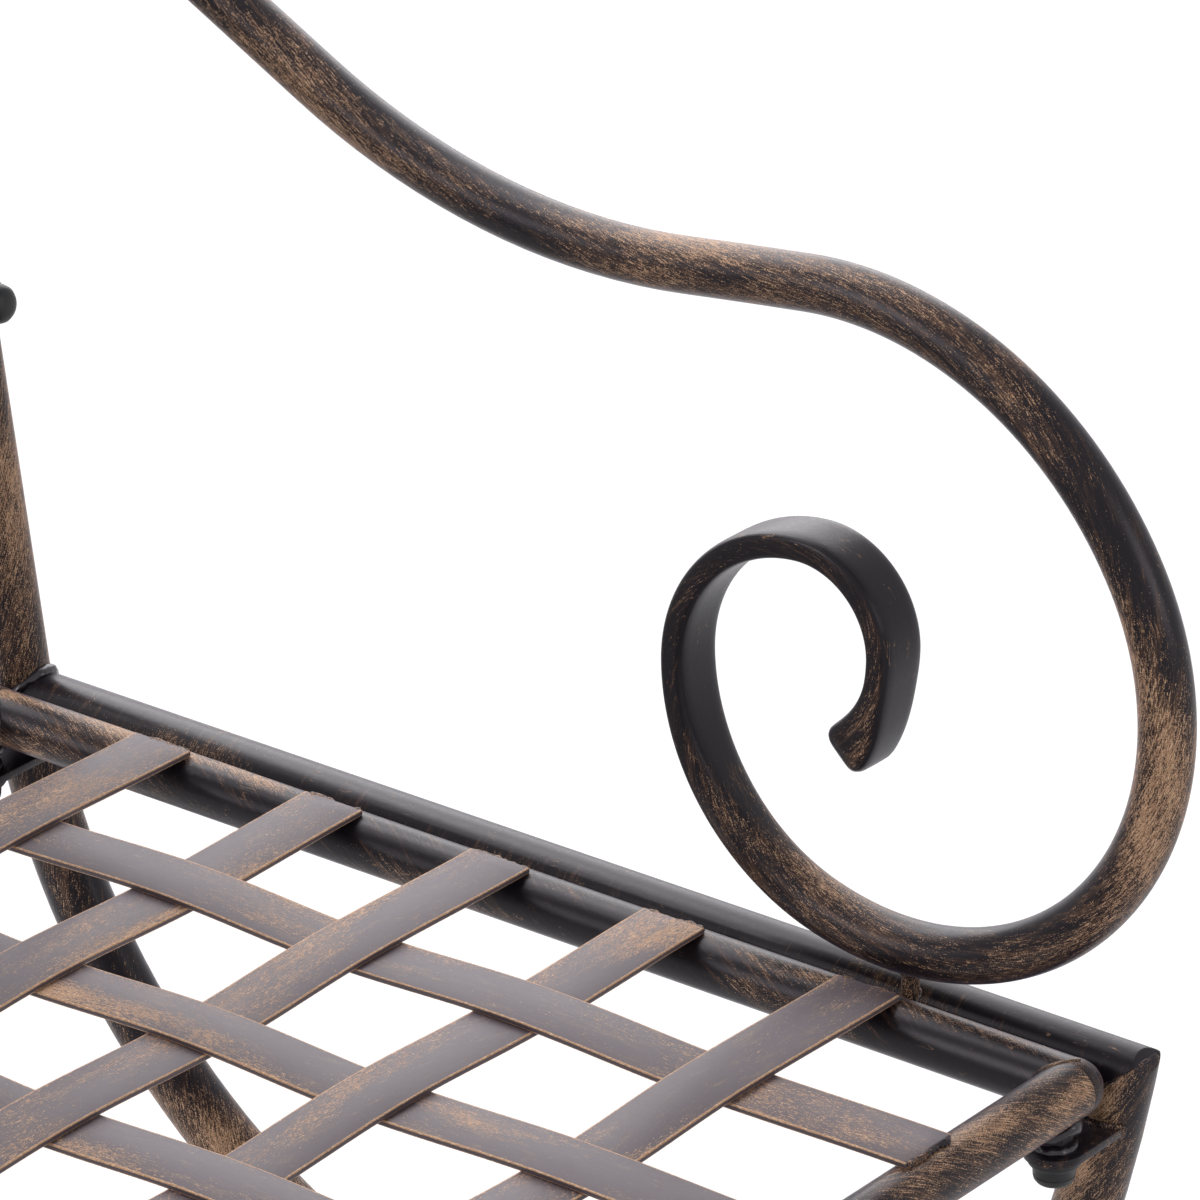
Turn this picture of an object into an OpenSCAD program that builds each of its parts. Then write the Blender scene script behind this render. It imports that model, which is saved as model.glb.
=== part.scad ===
// Metal garden armchair: two welded tube side frames with scroll arms and crossed legs,
// joined by a bolted seat panel, a bolted back panel and one stretcher.
// The chair faces -Y, right means +X as seen from the front, and the floor is z = 0.

/* [Overall] */
// Distance between the axes of the seat panel's two side rails
seat_w = 521; // [440:1:620]
// Distance between the axes of the seat panel's front and rear rails
seat_depth = 442; // [400:1:500]
// Height of the seat rails' axes above the floor
seat_h = 425; // [390:1:450]
// Length of the straight back posts above the seat rails
post_len = 475; // [430:1:540]
// Lean of the back posts, in degrees
lean = 9; // [4:0.5:14]

/* [Tubes] */
// Outer diameter of the side frames' tube
frame_d = 22; // [19:0.5:25]
// Outer diameter of the seat and back panels' tube
panel_d = 19; // [16:0.5:22]
// Outer diameter of the arms' tube
arm_d = 18; // [14:0.5:19]
// Outer diameter of the stretcher's tube
stretcher_d = 16; // [13:0.5:19]
// Wall of every tube
wall = 1.2; // [0.8:0.1:2]
// Gap between a side frame and the panels
side_gap = 1; // [0.5:0.5:3]
// How far the side rails' axes lie below the seat rails' axes
rail_drop = 3; // [0:0.5:5]
// Rounding at the outer corners of the mitred panel frames
corner_round = 6; // [3:0.5:8]

/* [Legs] */
// Slope of the front leg where it leaves the side rail, in degrees from upright
leg_slope = 10.5; // [8:0.5:13]
// Bend radius of the front leg's gentle top stretch
leg_top_r = 600; // [500:10:700]
// Bend radius of the front leg's knee
leg_knee_r = 200; // [180:5:220]
// Bend radius of the front leg's long lower sweep
leg_foot_r = 655; // [600:5:720]
// Bend radius of the rear tube below the seat
rear_r = 228; // [215:1:240]
// Bend radius of the rear tube's lower sweep to the front foot
rear_foot_r = 990; // [900:10:1100]

/* [Arms] */
// Height at which an arm meets its post, above the seat rails
arm_h = 353; // [330:1:370]
// How far inward of the side rail the scroll stands
toe_in = 8.5; // [6:0.5:10]
// Radius of the arm's dip behind the front bend
dip_r = 254; // [230:1:280]
// Radii of the scroll from its shoulder inward
shoulder_r = 126; // [120:1:132]
// Radius of the scroll's big front bend
bend_r = 101; // [98:1:104]
// Radius where the scroll rises again
rise_r = 76; // [72:1:80]
// Radius of the curl's top
curl_r = 52; // [48:1:56]
// Radius of the curl's inner turn
eye_r = 30; // [26:1:34]
// Radius of the tip's last stretch
tip_r = 53; // [45:1:60]
// Thickness of the flattened curl, seen from the side
curl_t = 10.5; // [8:0.5:14]
// Width of the flattened curl, seen from the front
curl_w = 21.5; // [19:0.5:24]
// Diameter of the short peg under the scroll
peg_d = 8; // [6:0.5:10]
// How far the peg stands ahead of the scroll's lowest point
peg_ahead = 6.6; // [2:0.2:12]

/* [Straps] */
// Width of a seat or back strap
strap_w = 24; // [18:0.5:28]
// Thickness of a strap
strap_t = 2; // [1.5:0.1:3]
// Straps that run from side to side of the seat
seat_cross_n = 5; // [4:1:6]
// Straps that run from front to back of the seat
seat_long_n = 6; // [5:1:7]
// Straps that run from side to side of the back
back_cross_n = 4; // [3:1:5]
// Straps that run up the back
back_up_n = 5; // [4:1:6]

/* [Back panel] */
// Height of the back panel's bottom rail along the posts
back_low = 96; // [85:1:115]
// Distance along the posts from their tops down to where the arch springs
spring_drop = 67; // [45:1:95]
// Rise of the arch at its middle
arch_rise = 82; // [60:1:100]

/* [Bolts] */
// Thread diameter of every bolt
bolt_d = 6; // [5:0.5:8]
// Clearance of a bolt in its holes, across the diameter
bolt_clear = 0.6; // [0.4:0.1:1]
// Diameter of the flange of a bolt's dome cap
cap_flange_d = 17; // [15:0.5:20]
// Diameter of the dome of a bolt's cap
cap_dome_d = 14; // [12:0.5:14.5]
// Thickness of the flat tabs
tab_t = 3; // [2:0.5:4]
// Width of the flat tabs
tab_w = 20; // [18:0.5:22]
// Height of the weld nuts under the seat rails
nut_h = 7; // [5:0.5:8]
// Distance along the posts from the seat rails to the lower back bolts
back_bolt_low = 139; // [130:1:150]
// Distance along the posts from the seat rails to the upper back bolts
back_bolt_high = 290; // [270:1:305]

/* [Feet and caps] */
// Outer diameter of the foot caps
foot_d = 27; // [25:0.5:30]
// Length of the foot caps along the leg
foot_len = 30; // [24:1:36]
// Thickness of a foot cap's sole
foot_sole = 3; // [2:0.5:5]
// Height of the domed plug on top of each post
plug_h = 8; // [6:0.5:9]

/* [Hidden] */
function numbered(name, n) = [for (i = [1:n]) str(name, i)];
$fn = 64;

// Colours as the piece shows them
bronze = [0.20, 0.15, 0.12];
strap_grey = [0.36, 0.33, 0.32];
black = [0.07, 0.07, 0.08];
zinc = [0.45, 0.45, 0.45];

// Working values
panel_r = panel_d / 2;
frame_r = frame_d / 2;
arm_r = arm_d / 2;
// Longer than any piece of the chair, for cutting prisms
far = 1500;
// Half the distance between the two side frames' planes
side_x = seat_w / 2 + panel_r + side_gap + frame_r;
// Where the side rail's axis meets the front leg's, from the seat panel's front rail
corner_y = -3.5;
// Where a post's axis crosses the height of the seat rails
post_back = 8;
post_y = seat_depth + post_back;

// The front leg's bends below its mitred corner
leg_start = [corner_y, -rail_drop, leg_slope - 90];
leg_gentle = 6;
leg_knee = 70;
// The slope at the end of the sweep, below the floor
leg_foot_slope = 31;
leg_path = [
    [leg_top_r, leg_gentle],
    [leg_knee_r, leg_knee - leg_slope - leg_gentle],
    [leg_foot_r, leg_foot_slope - leg_knee]
];
// Lead of tube past the mitre, for the cut
leg_lead = 2;
// The post and rear tube from the post's top to below the floor
post_start = [post_y + post_len * sin(lean), post_len * cos(lean), -90 - lean];
rear_knee = 62;
rear_foot_slope = 34.5;
rear_path = [
    [0, post_len],
    [rear_r, lean - rear_knee],
    [rear_foot_r, rear_knee - rear_foot_slope]
];
// The arm from its post, down to its dip, up over the shoulder and round the scroll
arm_slope = 27;
dip_run = 217;
arm_start = [post_y + arm_h * tan(lean), arm_h, 180 + arm_slope];
// Between dip and shoulder the arm is all but straight
level_r = 3000;
arm_tube = [[0, dip_run], [dip_r, -35], [level_r, 0.9], [shoulder_r, 68.6], [bend_r, 135]];
arm_curl = [[rise_r, 72.5], [curl_r, 87.5], [eye_r, 95], [tip_r, 48]];

// The state of a path is [y, z, heading]. A path's entry is [bend radius, sweep], or
// [0, length] where the path runs straight. A positive sweep turns left, seen from +X.
function bend_centre(s, seg) =
    let(g = sign(seg[1])) [s[0] - g * seg[0] * sin(s[2]), s[1] + g * seg[0] * cos(s[2])];
function go(s, seg, part = 1) = seg[0] == 0
    ? [s[0] + part * seg[1] * cos(s[2]), s[1] + part * seg[1] * sin(s[2]), s[2]]
    : let(c = bend_centre(s, seg), a = s[2] - 90 * sign(seg[1]) + part * seg[1])
      [c[0] + seg[0] * cos(a), c[1] + seg[0] * sin(a), s[2] + part * seg[1]];
function states(s, path, i = 0) =
    i == len(path) ? [s] : concat([s], states(go(s, path[i]), path, i + 1));
function seg_len(seg) = seg[0] == 0 ? seg[1] : seg[0] * abs(seg[1]) * PI / 180;
function path_len(path, i = 0) = i == len(path) ? 0 : seg_len(path[i]) + path_len(path, i + 1);
// The state at a distance along a path
function along(s, path, d, i = 0) =
    let(l = seg_len(path[i]))
    d <= l || i == len(path) - 1 ? go(s, path[i], d / l) : along(go(s, path[i]), path, d - l, i + 1);

// The lower sweeps of the two crossed tubes of a side frame are circles, which meet here
leg_states = states(leg_start, leg_path);
rear_states = states(post_start, rear_path);
leg_centre = bend_centre(leg_states[2], leg_path[2]);
rear_centre = bend_centre(rear_states[2], rear_path[2]);
function meeting(a, ra, b, rb) =
    let(d = b - a, l = norm(d), p = (ra * ra - rb * rb + l * l) / (2 * l), h = sqrt(ra * ra - p * p))
    a + d * p / l + h * [-d[1], d[0]] / l;
cross = meeting(leg_centre, leg_foot_r, rear_centre, rear_foot_r);
// Heading of the front leg where the tubes cross
cross_heading = atan2(cross[1] - leg_centre[1], cross[0] - leg_centre[0]) - 90;

// The chair's reach forward and back sets the origin at the middle of its depth
arm_states = states(arm_start, arm_tube);
bend_middle = bend_centre(arm_states[4], arm_tube[4]);
peg_y = bend_middle[0] - peg_ahead;
toe_angle = asin(toe_in / (arm_start[0] - peg_y));
reach_front = arm_start[0] - (arm_start[0] - bend_middle[0] + bend_r) * cos(toe_angle) - arm_r;
back_spring = post_len - spring_drop;
crest = back_spring + arch_rise;
reach_back = post_y + max(crest * sin(lean) + panel_r, post_len * sin(lean) + frame_r * cos(lean));
mid_y = (reach_front + reach_back) / 2;

// Strap places
front_margin = 76;
side_margin = 77;
strap_amp = 0.6 * strap_t;
// The straps across the seat were set by hand, so they stray a little from an even pitch
cross_stray = [2, 6, 4, 1, 2, 0];
function cross_y(i) =
    front_margin + (seat_depth - 2 * front_margin) * i / (seat_cross_n - 1) + cross_stray[i];
function long_x(i) = seat_w / 2 - side_margin - (seat_w - 2 * side_margin) * i / (seat_long_n - 1);
back_margin = 62;
function back_z(i) =
    back_low + back_margin + (back_spring - back_low - back_margin) * i / (back_cross_n - 0.5);
function up_x(i) = seat_w * ((i + 1) / (back_up_n + 1) - 0.5);
// Places of the crossings along each strap
cross_seats = [for (i = [0:seat_cross_n - 1]) cross_y(i)];
long_seats = [for (i = [0:seat_long_n - 1]) long_x(seat_long_n - 1 - i)];
back_cross_seats = [for (i = [0:back_cross_n - 1]) back_z(i)];
back_up_seats = [for (i = [0:back_up_n - 1]) up_x(i)];

// The arch over the back is one circle through the tops of the stiles
arch_r = (seat_w * seat_w / 4 + arch_rise * arch_rise) / (2 * arch_rise);
arch_z = crest - arch_r;
arch_half = asin(seat_w / 2 / arch_r);
function arch_at(x) = arch_z + sqrt(arch_r * arch_r - x * x);

// Bolts
hole_d = bolt_d + bolt_clear;
// The seat's bolts stand a little inside the corners of the seat panel
bolt_inset = 9;
seat_bolt_x = seat_w / 2 - bolt_inset;
tab_top = -panel_r - nut_h;
tab_low = tab_top - tab_t;
cap_flange_t = 2.5;
cap_h = 9.5;
nut_w = 10;
head_h = 4;
// Play round a bolt's head inside its cap
head_play = 0.3;
// How far a weld nut reaches up round its rail, and how far a bolt stays short of the nut's end
nut_embed = 1.2;
bolt_short = 0.5;
// Thickness of a saddle cap's floor under the head, and depth of its skirt round the tube
cap_floor = 1;
cap_skirt = 3.6;
// Overrun of every cutting tool past the face that it cuts
over = 1;

// Moves the drawing from the seat panel's front rail to the chair's own origin
module placed() { translate([0, -mid_y, seat_h]) children(); }
// Draws what follows on the right, or mirrored on the left
module side(g) { placed() mirror([g < 0 ? 1 : 0, 0, 0]) children(); }
// Draws both sides
module both() { for (g = [1, -1]) side(g) children(); }
// Stands what follows in the plane of the leaning back
module leaning() { translate([0, post_y, 0]) rotate([-lean, 0, 0]) children(); }
// Turns a flat outline in y and z into a prism along x
module side_prism(w) { rotate([90, 0, 90]) linear_extrude(w, center = true) children(); }
// Turns a flat outline in x and z into a prism along y
module front_prism(w) { rotate([90, 0, 0]) linear_extrude(w, center = true) children(); }

// The cross-section of a tube, or of a bar where its wall is 0
module section(d, w) {
    difference() {
        circle(d = d);
        if (w > 0) circle(d = d - 2 * w);
    }
}
// Moves by a coarse, a fine and a finest step, so that tubes join end to end with no digit lost
module finely(p) {
    coarse = [for (v = p) round(v)];
    fine = [for (v = p - coarse) round(v * 1000) / 1000];
    translate(coarse) translate(fine) translate(p - coarse - fine) children();
}
// One stretch of a bent tube in the plane of y and z
module stretch(s, seg, d, w) {
    if (seg[0] == 0) {
        finely([0, s[0], s[1]]) rotate([s[2] - 90, 0, 0]) linear_extrude(seg[1]) section(d, w);
    } else {
        a = s[2] - 90 * sign(seg[1]);
        c = bend_centre(s, seg);
        finely([0, c[0], c[1]]) ring_part(seg[0], min(a, a + seg[1]), abs(seg[1]), d, w);
    }
}
// Part of a ring of tube about the x axis
module ring_part(r, from, sweep, d, w) {
    rotate([90, 0, 90]) rotate_extrude(start = from, angle = sweep, $fn = 180)
        translate([r, 0]) section(d, w);
}
// A whole bent tube, drawn with its straight stretch level or upright and then turned into place
module bent(start, path, d, w, turn = 0) {
    s = states([0, 0, start[2] - turn], path);
    translate([0, start[0], start[1]]) rotate([turn, 0, 0])
        for (i = [0:len(path) - 1]) stretch(s[i], path[i], d, w);
}
// Half of the side plane, to the left of a heading through a point
module half_plane(p, heading) {
    side_prism(far) translate(p) rotate(heading) translate([-far / 2, 0]) square([far, far / 2]);
}

// The front leg, from a little past its mitre
module leg_bar(w) {
    start = go(leg_start, [leg_top_r, leg_lead], -1);
    bent(start, concat([[leg_top_r, leg_gentle + leg_lead], leg_path[1], leg_path[2]]), frame_d, w);
}
module rear_bar(w) { bent(post_start, rear_path, frame_d, w, -lean); }
// The lower sweep of the rear tube alone
module rear_foot_bar(w) { bent(rear_states[2], [rear_path[2]], frame_d, w); }
module post_bar() { leaning() cylinder(d = frame_d, h = post_len); }
// The mitre between side rail and front leg runs halfway between their two directions
mitre_heading = (leg_slope - 90) / 2;
// The side rail stops short of the post's axis, inside the post's own outline
rail_short = 4;
module rail_bar(w) {
    start = corner_y - frame_d;
    bent([start, -rail_drop, 0], [[0, post_y - rail_short - start]], frame_d, w);
}
module in_side_plane() { translate([side_x, 0, 0]) children(); }
// Everything below the tops of the foot caps' soles
module under_soles() { translate([0, 0, foot_sole - seat_h - far / 2]) cube(far, center = true); }

module side_rail(g) {
    color(bronze) side(g) in_side_plane() difference() {
        rail_bar(wall);
        half_plane([corner_y, -rail_drop], mitre_heading + 180);
        rear_bar(0);
    }
}

module front_leg(g) {
    color(bronze) side(g) in_side_plane() difference() {
        leg_bar(wall);
        half_plane([corner_y, -rail_drop], mitre_heading);
        under_soles();
        at_cross() cylinder(d = hole_d, h = 2 * frame_d, center = true);
    }
}

module back_post(g) {
    color(bronze) side(g) in_side_plane() difference() {
        rear_bar(wall);
        leg_bar(0);
        half_plane(cross, cross_heading + 180);
        back_bolt_places() cylinder(d = hole_d, h = 2 * frame_d, center = true);
    }
}

module lower_leg(g) {
    color(bronze) side(g) in_side_plane() difference() {
        rear_foot_bar(wall);
        leg_bar(0);
        half_plane(cross, cross_heading);
        under_soles();
    }
}

// Stands what follows at the arm's post, with the arm's plane turned a little inward
module arm_plane() {
    translate([side_x, arm_start[0], 0]) rotate([0, 0, -toe_angle])
        translate([0, -arm_start[0], 0]) children();
}

module arm_bar(w) { bent(arm_start, arm_tube, arm_d, w, arm_slope); }

// The flattened curl starts a little inside the round tube
curl_lead = 2;
curl_start = go(arm_states[4], arm_tube[4], 1 - curl_lead / arm_tube[4][1]);
curl_path = concat([[bend_r, curl_lead]], arm_curl);
curl_rings = 36;
curl_sides = 20;
tip_rings = 5;
// Length over which the tube's round section turns into the flattened one
flatten_run = 90;
tip_round = 7;
function signed_power(v, e) = sign(v) * pow(abs(v), e);
function blend(t) = let(u = min(1, max(0, t))) u * u * (3 - 2 * u);
// Half the thickness, half the width and the squareness of the curl at a distance along it
blunt = 0.02;
squareness = 0.25;
function curl_half(d, total) =
    let(f = blend(d / flatten_run), left = min(1, (total - d) / tip_round), r = arm_r - wall / 3,
        e = sqrt(max(blunt, 1 - pow(1 - left, 2))))
    [e * (r + f * (curl_t / 2 - r)), e * (r + f * (curl_w / 2 - r)), 1 - squareness * f];
function curl_ring(s, h, n) = [for (j = [0:n - 1])
    let(a = 360 * j / n, u = signed_power(cos(a), h[2]) * h[0], v = signed_power(sin(a), h[2]) * h[1])
    [v, s[0] - u * sin(s[2]), s[1] + u * cos(s[2])]];

// The flattened end of the arm, closed at its tip
module curl(start, path) {
    total = path_len(path);
    n = curl_sides;
    m = curl_rings;
    // The last few rings crowd together where the tip is rounded
    d = [for (k = [0:m - 1]) k < m - tip_rings ? (total - tip_round) * k / (m - tip_rings)
        : total - tip_round * pow((m - 1 - k) / tip_rings, 2)];
    points = [for (k = [0:m - 1]) each curl_ring(along(start, path, d[k]), curl_half(d[k], total), n)];
    walls = [for (k = [0:m - 2], j = [0:n - 1], t = [0:1])
        let(a = k * n + j, b = k * n + (j + 1) % n) t == 0 ? [a, b + n, b] : [a, a + n, b + n]];
    root = [for (j = [1:n - 2]) [0, j, j + 1]];
    tip = [for (j = [1:n - 2]) [(m - 1) * n, (m - 1) * n + j + 1, (m - 1) * n + j]];
    polyhedron(points, concat(walls, root, tip));
}

module arm(g) {
    color(bronze) side(g) difference() {
        arm_plane() {
            arm_bar(wall);
            curl(curl_start, curl_path);
        }
        in_side_plane() post_bar();
    }
}

// A short peg stands between the side rail and the scroll
module arm_peg(g) {
    color(bronze) side(g) difference() {
        arm_plane() translate([0, peg_y, 0]) cylinder(d = peg_d, h = bend_middle[1] - bend_r);
        arm_plane() arm_bar(0);
        in_side_plane() rail_bar(0);
    }
}

// A flat tab from a side frame's tube to a bolt under the seat's corner
module seat_tab(y) {
    difference() {
        translate([0, y, tab_low]) linear_extrude(tab_t) union() {
            translate([seat_bolt_x, 0]) circle(d = tab_w);
            translate([seat_bolt_x, -tab_w / 2]) square([side_x - frame_r / 2 - seat_bolt_x, tab_w]);
        }
        translate([seat_bolt_x, y, tab_low - over]) cylinder(d = hole_d, h = tab_t + 2 * over);
        in_side_plane() children();
    }
}
module front_tabs() { color(bronze) both() seat_tab(0) leg_bar(0); }
module rear_tabs() { color(bronze) both() seat_tab(seat_depth) rear_bar(0); }

// Places of the four seat bolts
module seat_bolt_places() {
    both() for (y = [0, seat_depth]) translate([seat_bolt_x, y, 0]) children();
}
// A hexagonal bar, for nuts and bolt heads
module hex_bar(h) { cylinder(d = nut_w / cos(30), h = h, $fn = 6); }
// Nuts welded under the seat panel's rails
module seat_nuts() {
    color(bronze) difference() {
        seat_bolt_places() translate([0, 0, tab_top]) difference() {
            hex_bar(nut_h + nut_embed);
            translate([0, 0, -over]) cylinder(d = bolt_d, h = nut_h + nut_embed + 2 * over);
        }
        placed() seat_bars();
    }
}
module seat_bolts() {
    color(zinc) seat_bolt_places() {
        translate([0, 0, tab_low - head_h]) hex_bar(head_h);
        translate([0, 0, tab_low]) cylinder(d = bolt_d, h = tab_t + nut_h - bolt_short);
    }
}
// A dome cap that hangs down from z = 0 and is hollow round a bolt's head. Its skirt reaches up
// past z = 0, to be cut to a tube, and its floor lies between the tube and the head.
module dome_cap(skirt, floor) {
    flat = cap_h + floor - cap_dome_d / 2 + 2;
    difference() {
        union() {
            translate([0, 0, -cap_flange_t]) cylinder(d = cap_flange_d, h = cap_flange_t + skirt);
            translate([0, 0, -flat]) cylinder(d = cap_dome_d, h = flat);
            intersection() {
                translate([0, 0, -flat]) sphere(d = cap_dome_d);
                translate([0, 0, -cap_h - floor]) cylinder(d = cap_dome_d, h = cap_h);
            }
        }
        translate([0, 0, -floor - head_h - head_play])
            cylinder(d = nut_w / cos(30) + 2 * head_play, h = head_h + head_play);
        translate([0, 0, -floor - over]) cylinder(d = hole_d, h = floor + skirt + 2 * over);
    }
}
module seat_bolt_caps() { color(black) seat_bolt_places() translate([0, 0, tab_low]) dome_cap(0, 0); }

// A mitred rail along x between two corners, in the plane of a panel frame of w by d
module mitred_rail(w, d, at) {
    y0 = at * d / 2;
    difference() {
        intersection() {
            translate([0, y0, 0]) rotate([0, 90, 0]) cylinder(d = panel_d, h = w + panel_d, center = true);
            mitre_prism(w, d, at);
            round_prism(w + panel_d, d + panel_d, corner_round);
        }
        intersection() {
            translate([0, y0, 0]) rotate([0, 90, 0])
                cylinder(d = panel_d - 2 * wall, h = w + 2 * panel_d, center = true);
            round_prism(w + panel_d - 2 * wall, d + panel_d - 2 * wall, corner_round - wall);
        }
    }
}
// Cuts both ends of a rail at 45 degrees, through the corners of the frame's axes
module mitre_prism(w, d, at) {
    e = panel_d;
    linear_extrude(far, center = true) polygon([
        [-w / 2 - e, at * (d / 2 + e)], [w / 2 + e, at * (d / 2 + e)],
        [w / 2 - e, at * (d / 2 - e)], [-w / 2 + e, at * (d / 2 - e)]
    ]);
}
module round_prism(w, d, r) {
    linear_extrude(far, center = true) union() {
        square([w - 2 * r, d], center = true);
        square([w, d - 2 * r], center = true);
        for (x = [-1, 1], y = [-1, 1]) translate([x * (w / 2 - r), y * (d / 2 - r)]) circle(r = r);
    }
}
// The seat panel's four rails as bars, for what seats on them
module seat_bars() {
    for (y = [0, seat_depth]) translate([0, y, 0]) rotate([0, 90, 0])
        cylinder(d = panel_d, h = seat_w, center = true);
    for (x = [-1, 1]) translate([x * seat_w / 2, 0, 0]) rotate([-90, 0, 0])
        cylinder(d = panel_d, h = seat_depth);
}
module seat_front_rail() {
    color(bronze) placed() translate([0, seat_depth / 2, 0]) mitred_rail(seat_w, seat_depth, -1);
}
module seat_rear_rail() {
    color(bronze) placed() translate([0, seat_depth / 2, 0]) mitred_rail(seat_w, seat_depth, 1);
}
module seat_side_rail(g) {
    color(bronze) placed() translate([0, seat_depth / 2, 0]) rotate([0, 0, 90])
        mitred_rail(seat_depth, seat_w, -g);
}

// Height of a woven strap's middle at u: it rides over and under at its crossings, starting over
// where sgn is 1, and runs level at both ends
function weave(u, seats, low, high, sgn) =
    let(n = len(seats), i = len([for (s = seats) if (s <= u) 1]) - 1,
        a = i < 0 ? low : seats[i], b = i >= n - 1 ? high : seats[i + 1],
        t = (u - a) / (b - a), up = sgn * (i % 2 == 0 ? 1 : -1))
    i < 0 ? sgn * (1 - cos(180 * t)) / 2
    : i >= n - 1 ? up * (1 + cos(180 * t)) / 2
    : up * cos(180 * t);

// A woven strap as a flat profile in its length and its height
strap_step = 12;
module strap_profile(seats, low, high, sgn) {
    n = ceil((high - low) / strap_step);
    u = [for (k = [0:n]) low + (high - low) * k / n];
    h = [for (v = u) strap_amp * weave(v, seats, low, high, sgn)];
    polygon(concat(
        [for (k = [0:n]) [u[k], h[k] - strap_t / 2]],
        [for (k = [n:-1:0]) [u[k], h[k] + strap_t / 2]]
    ));
}
seat_strap_z = panel_r + strap_t / 2;

module seat_cross_strap(i) {
    color(strap_grey) placed() translate([0, cross_y(i), seat_strap_z]) front_prism(strap_w)
        strap_profile(long_seats, -seat_w / 2, seat_w / 2, (i + seat_long_n) % 2 == 0 ? -1 : 1);
}
module seat_long_strap(i) {
    color(strap_grey) placed() translate([long_x(i), 0, seat_strap_z]) side_prism(strap_w)
        strap_profile(cross_seats, 0, seat_depth, i % 2 == 0 ? -1 : 1);
}

// The back panel lies in the leaning plane: x across, z up the posts. Its mitres split the
// angles between its tubes.
arch_mitre = 45 - arch_half / 2;
// Everything on one side of a slanting line through a corner of the back panel
module corner_cut(z, slant, above) {
    for (g = [0, 1]) mirror([g, 0, 0]) front_prism(4 * panel_d) translate([seat_w / 2, z]) rotate(slant)
        translate([-seat_w / 2, above ? 0 : -far]) square([seat_w, far]);
}
// Lead of arch past its mitres, in degrees
arch_lead = 5;
module back_arch() {
    color(bronze) placed() leaning() difference() {
        translate([0, 0, arch_z]) rotate([0, 0, -90])
            ring_part(arch_r, 90 - arch_half - arch_lead, 2 * (arch_half + arch_lead), panel_d, wall);
        corner_cut(back_spring, arch_mitre, false);
    }
}
module back_stile(g) {
    color(bronze) side(g) leaning() difference() {
        translate([seat_w / 2, 0, back_low - panel_d])
            linear_extrude(back_spring - back_low + 2 * panel_d) section(panel_d, wall);
        corner_cut(back_spring, arch_mitre, true);
        corner_cut(back_low, -45, false);
    }
}
module back_bottom_rail() {
    color(bronze) placed() leaning() difference() {
        translate([0, 0, back_low]) rotate([0, 90, 0])
            linear_extrude(seat_w + 2 * panel_d, center = true) section(panel_d, wall);
        corner_cut(back_low, -45, true);
    }
}

// Straps lie on the front of the back panel's tubes
module back_face() { placed() leaning() translate([0, -panel_r - strap_t / 2, 0]) children(); }
module back_cross_strap(i) {
    color(strap_grey) back_face() translate([0, 0, back_z(i)]) linear_extrude(strap_w, center = true)
        mirror([0, 1]) strap_profile(back_up_seats, -seat_w / 2, seat_w / 2, i % 2 == 0 ? 1 : -1);
}
module back_up_strap(i) {
    color(strap_grey) back_face() translate([up_x(i), 0, 0]) side_prism(strap_w) rotate(90)
        strap_profile(back_cross_seats, back_low, arch_at(up_x(i)), i % 2 == 0 ? -1 : 1);
}

// Places of the four back bolts, on the posts' axes and pointing forward
module back_bolt_places() {
    leaning() for (z = [back_bolt_low, back_bolt_high]) translate([0, 0, z]) rotate([90, 0, 0]) children();
}
// Flat tabs behind the posts. Each has a foot that meets the stile of the back panel.
tab_foot = 4;
module back_tabs() {
    inward = seat_w / 2 - side_x;
    color(bronze) both() in_side_plane() back_bolt_places() difference() {
        translate([0, 0, -frame_r - tab_t]) linear_extrude(tab_t + tab_foot) union() {
            circle(d = tab_w);
            translate([inward, -tab_w / 2]) square([-inward, tab_w]);
        }
        cylinder(d = hole_d, h = 3 * frame_d, center = true);
        rotate([90, 0, 0]) cylinder(d = frame_d, h = 2 * tab_w, center = true);
        translate([inward, 0, 0]) rotate([90, 0, 0]) cylinder(d = panel_d, h = 2 * tab_w, center = true);
        translate([inward + panel_r - tab_t + over, -tab_w, -frame_r]) cube(2 * tab_w);
    }
}
// A saddle cap and the bolt whose head it hides, through a tube whose axis crosses the origin
module saddle_cap() { translate([0, 0, frame_r]) mirror([0, 0, 1]) dome_cap(cap_skirt, cap_floor); }
module saddle_bolt(beyond) {
    translate([0, 0, frame_r + cap_floor]) hex_bar(head_h);
    translate([0, 0, -frame_r - beyond])
        cylinder(d = bolt_d, h = 2 * frame_r + cap_floor + beyond);
}
// Bolts run from the front of the post through the tab to a nut behind it
back_nut_h = nut_h - over;
module back_bolts() { color(zinc) both() in_side_plane() back_bolt_places() saddle_bolt(tab_t + nut_h); }
module back_nuts() {
    color(bronze) both() in_side_plane() back_bolt_places()
        translate([0, 0, -frame_r - tab_t - back_nut_h]) difference() {
            hex_bar(back_nut_h);
            translate([0, 0, -over]) cylinder(d = bolt_d, h = back_nut_h + 2 * over);
        }
}
module back_bolt_caps() {
    color(black) both() in_side_plane() difference() {
        back_bolt_places() saddle_cap();
        post_bar();
    }
}

// A foot cap is a sleeve round the last of a leg, with a sole cut flat at the floor
module foot_cap(c, r, a) {
    reach = foot_len / r * 180 / PI;
    difference() {
        translate([0, c[0], c[1]]) ring_part(r, a - reach, 2 * reach, foot_d, 0);
        translate([0, 0, -seat_h - far / 2]) cube(far, center = true);
        intersection() {
            translate([0, c[0], c[1]]) ring_part(r, a - 2 * reach, 4 * reach, frame_d, 0);
            translate([-far / 2, -far / 2, foot_sole - seat_h]) cube(far);
        }
    }
}
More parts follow.
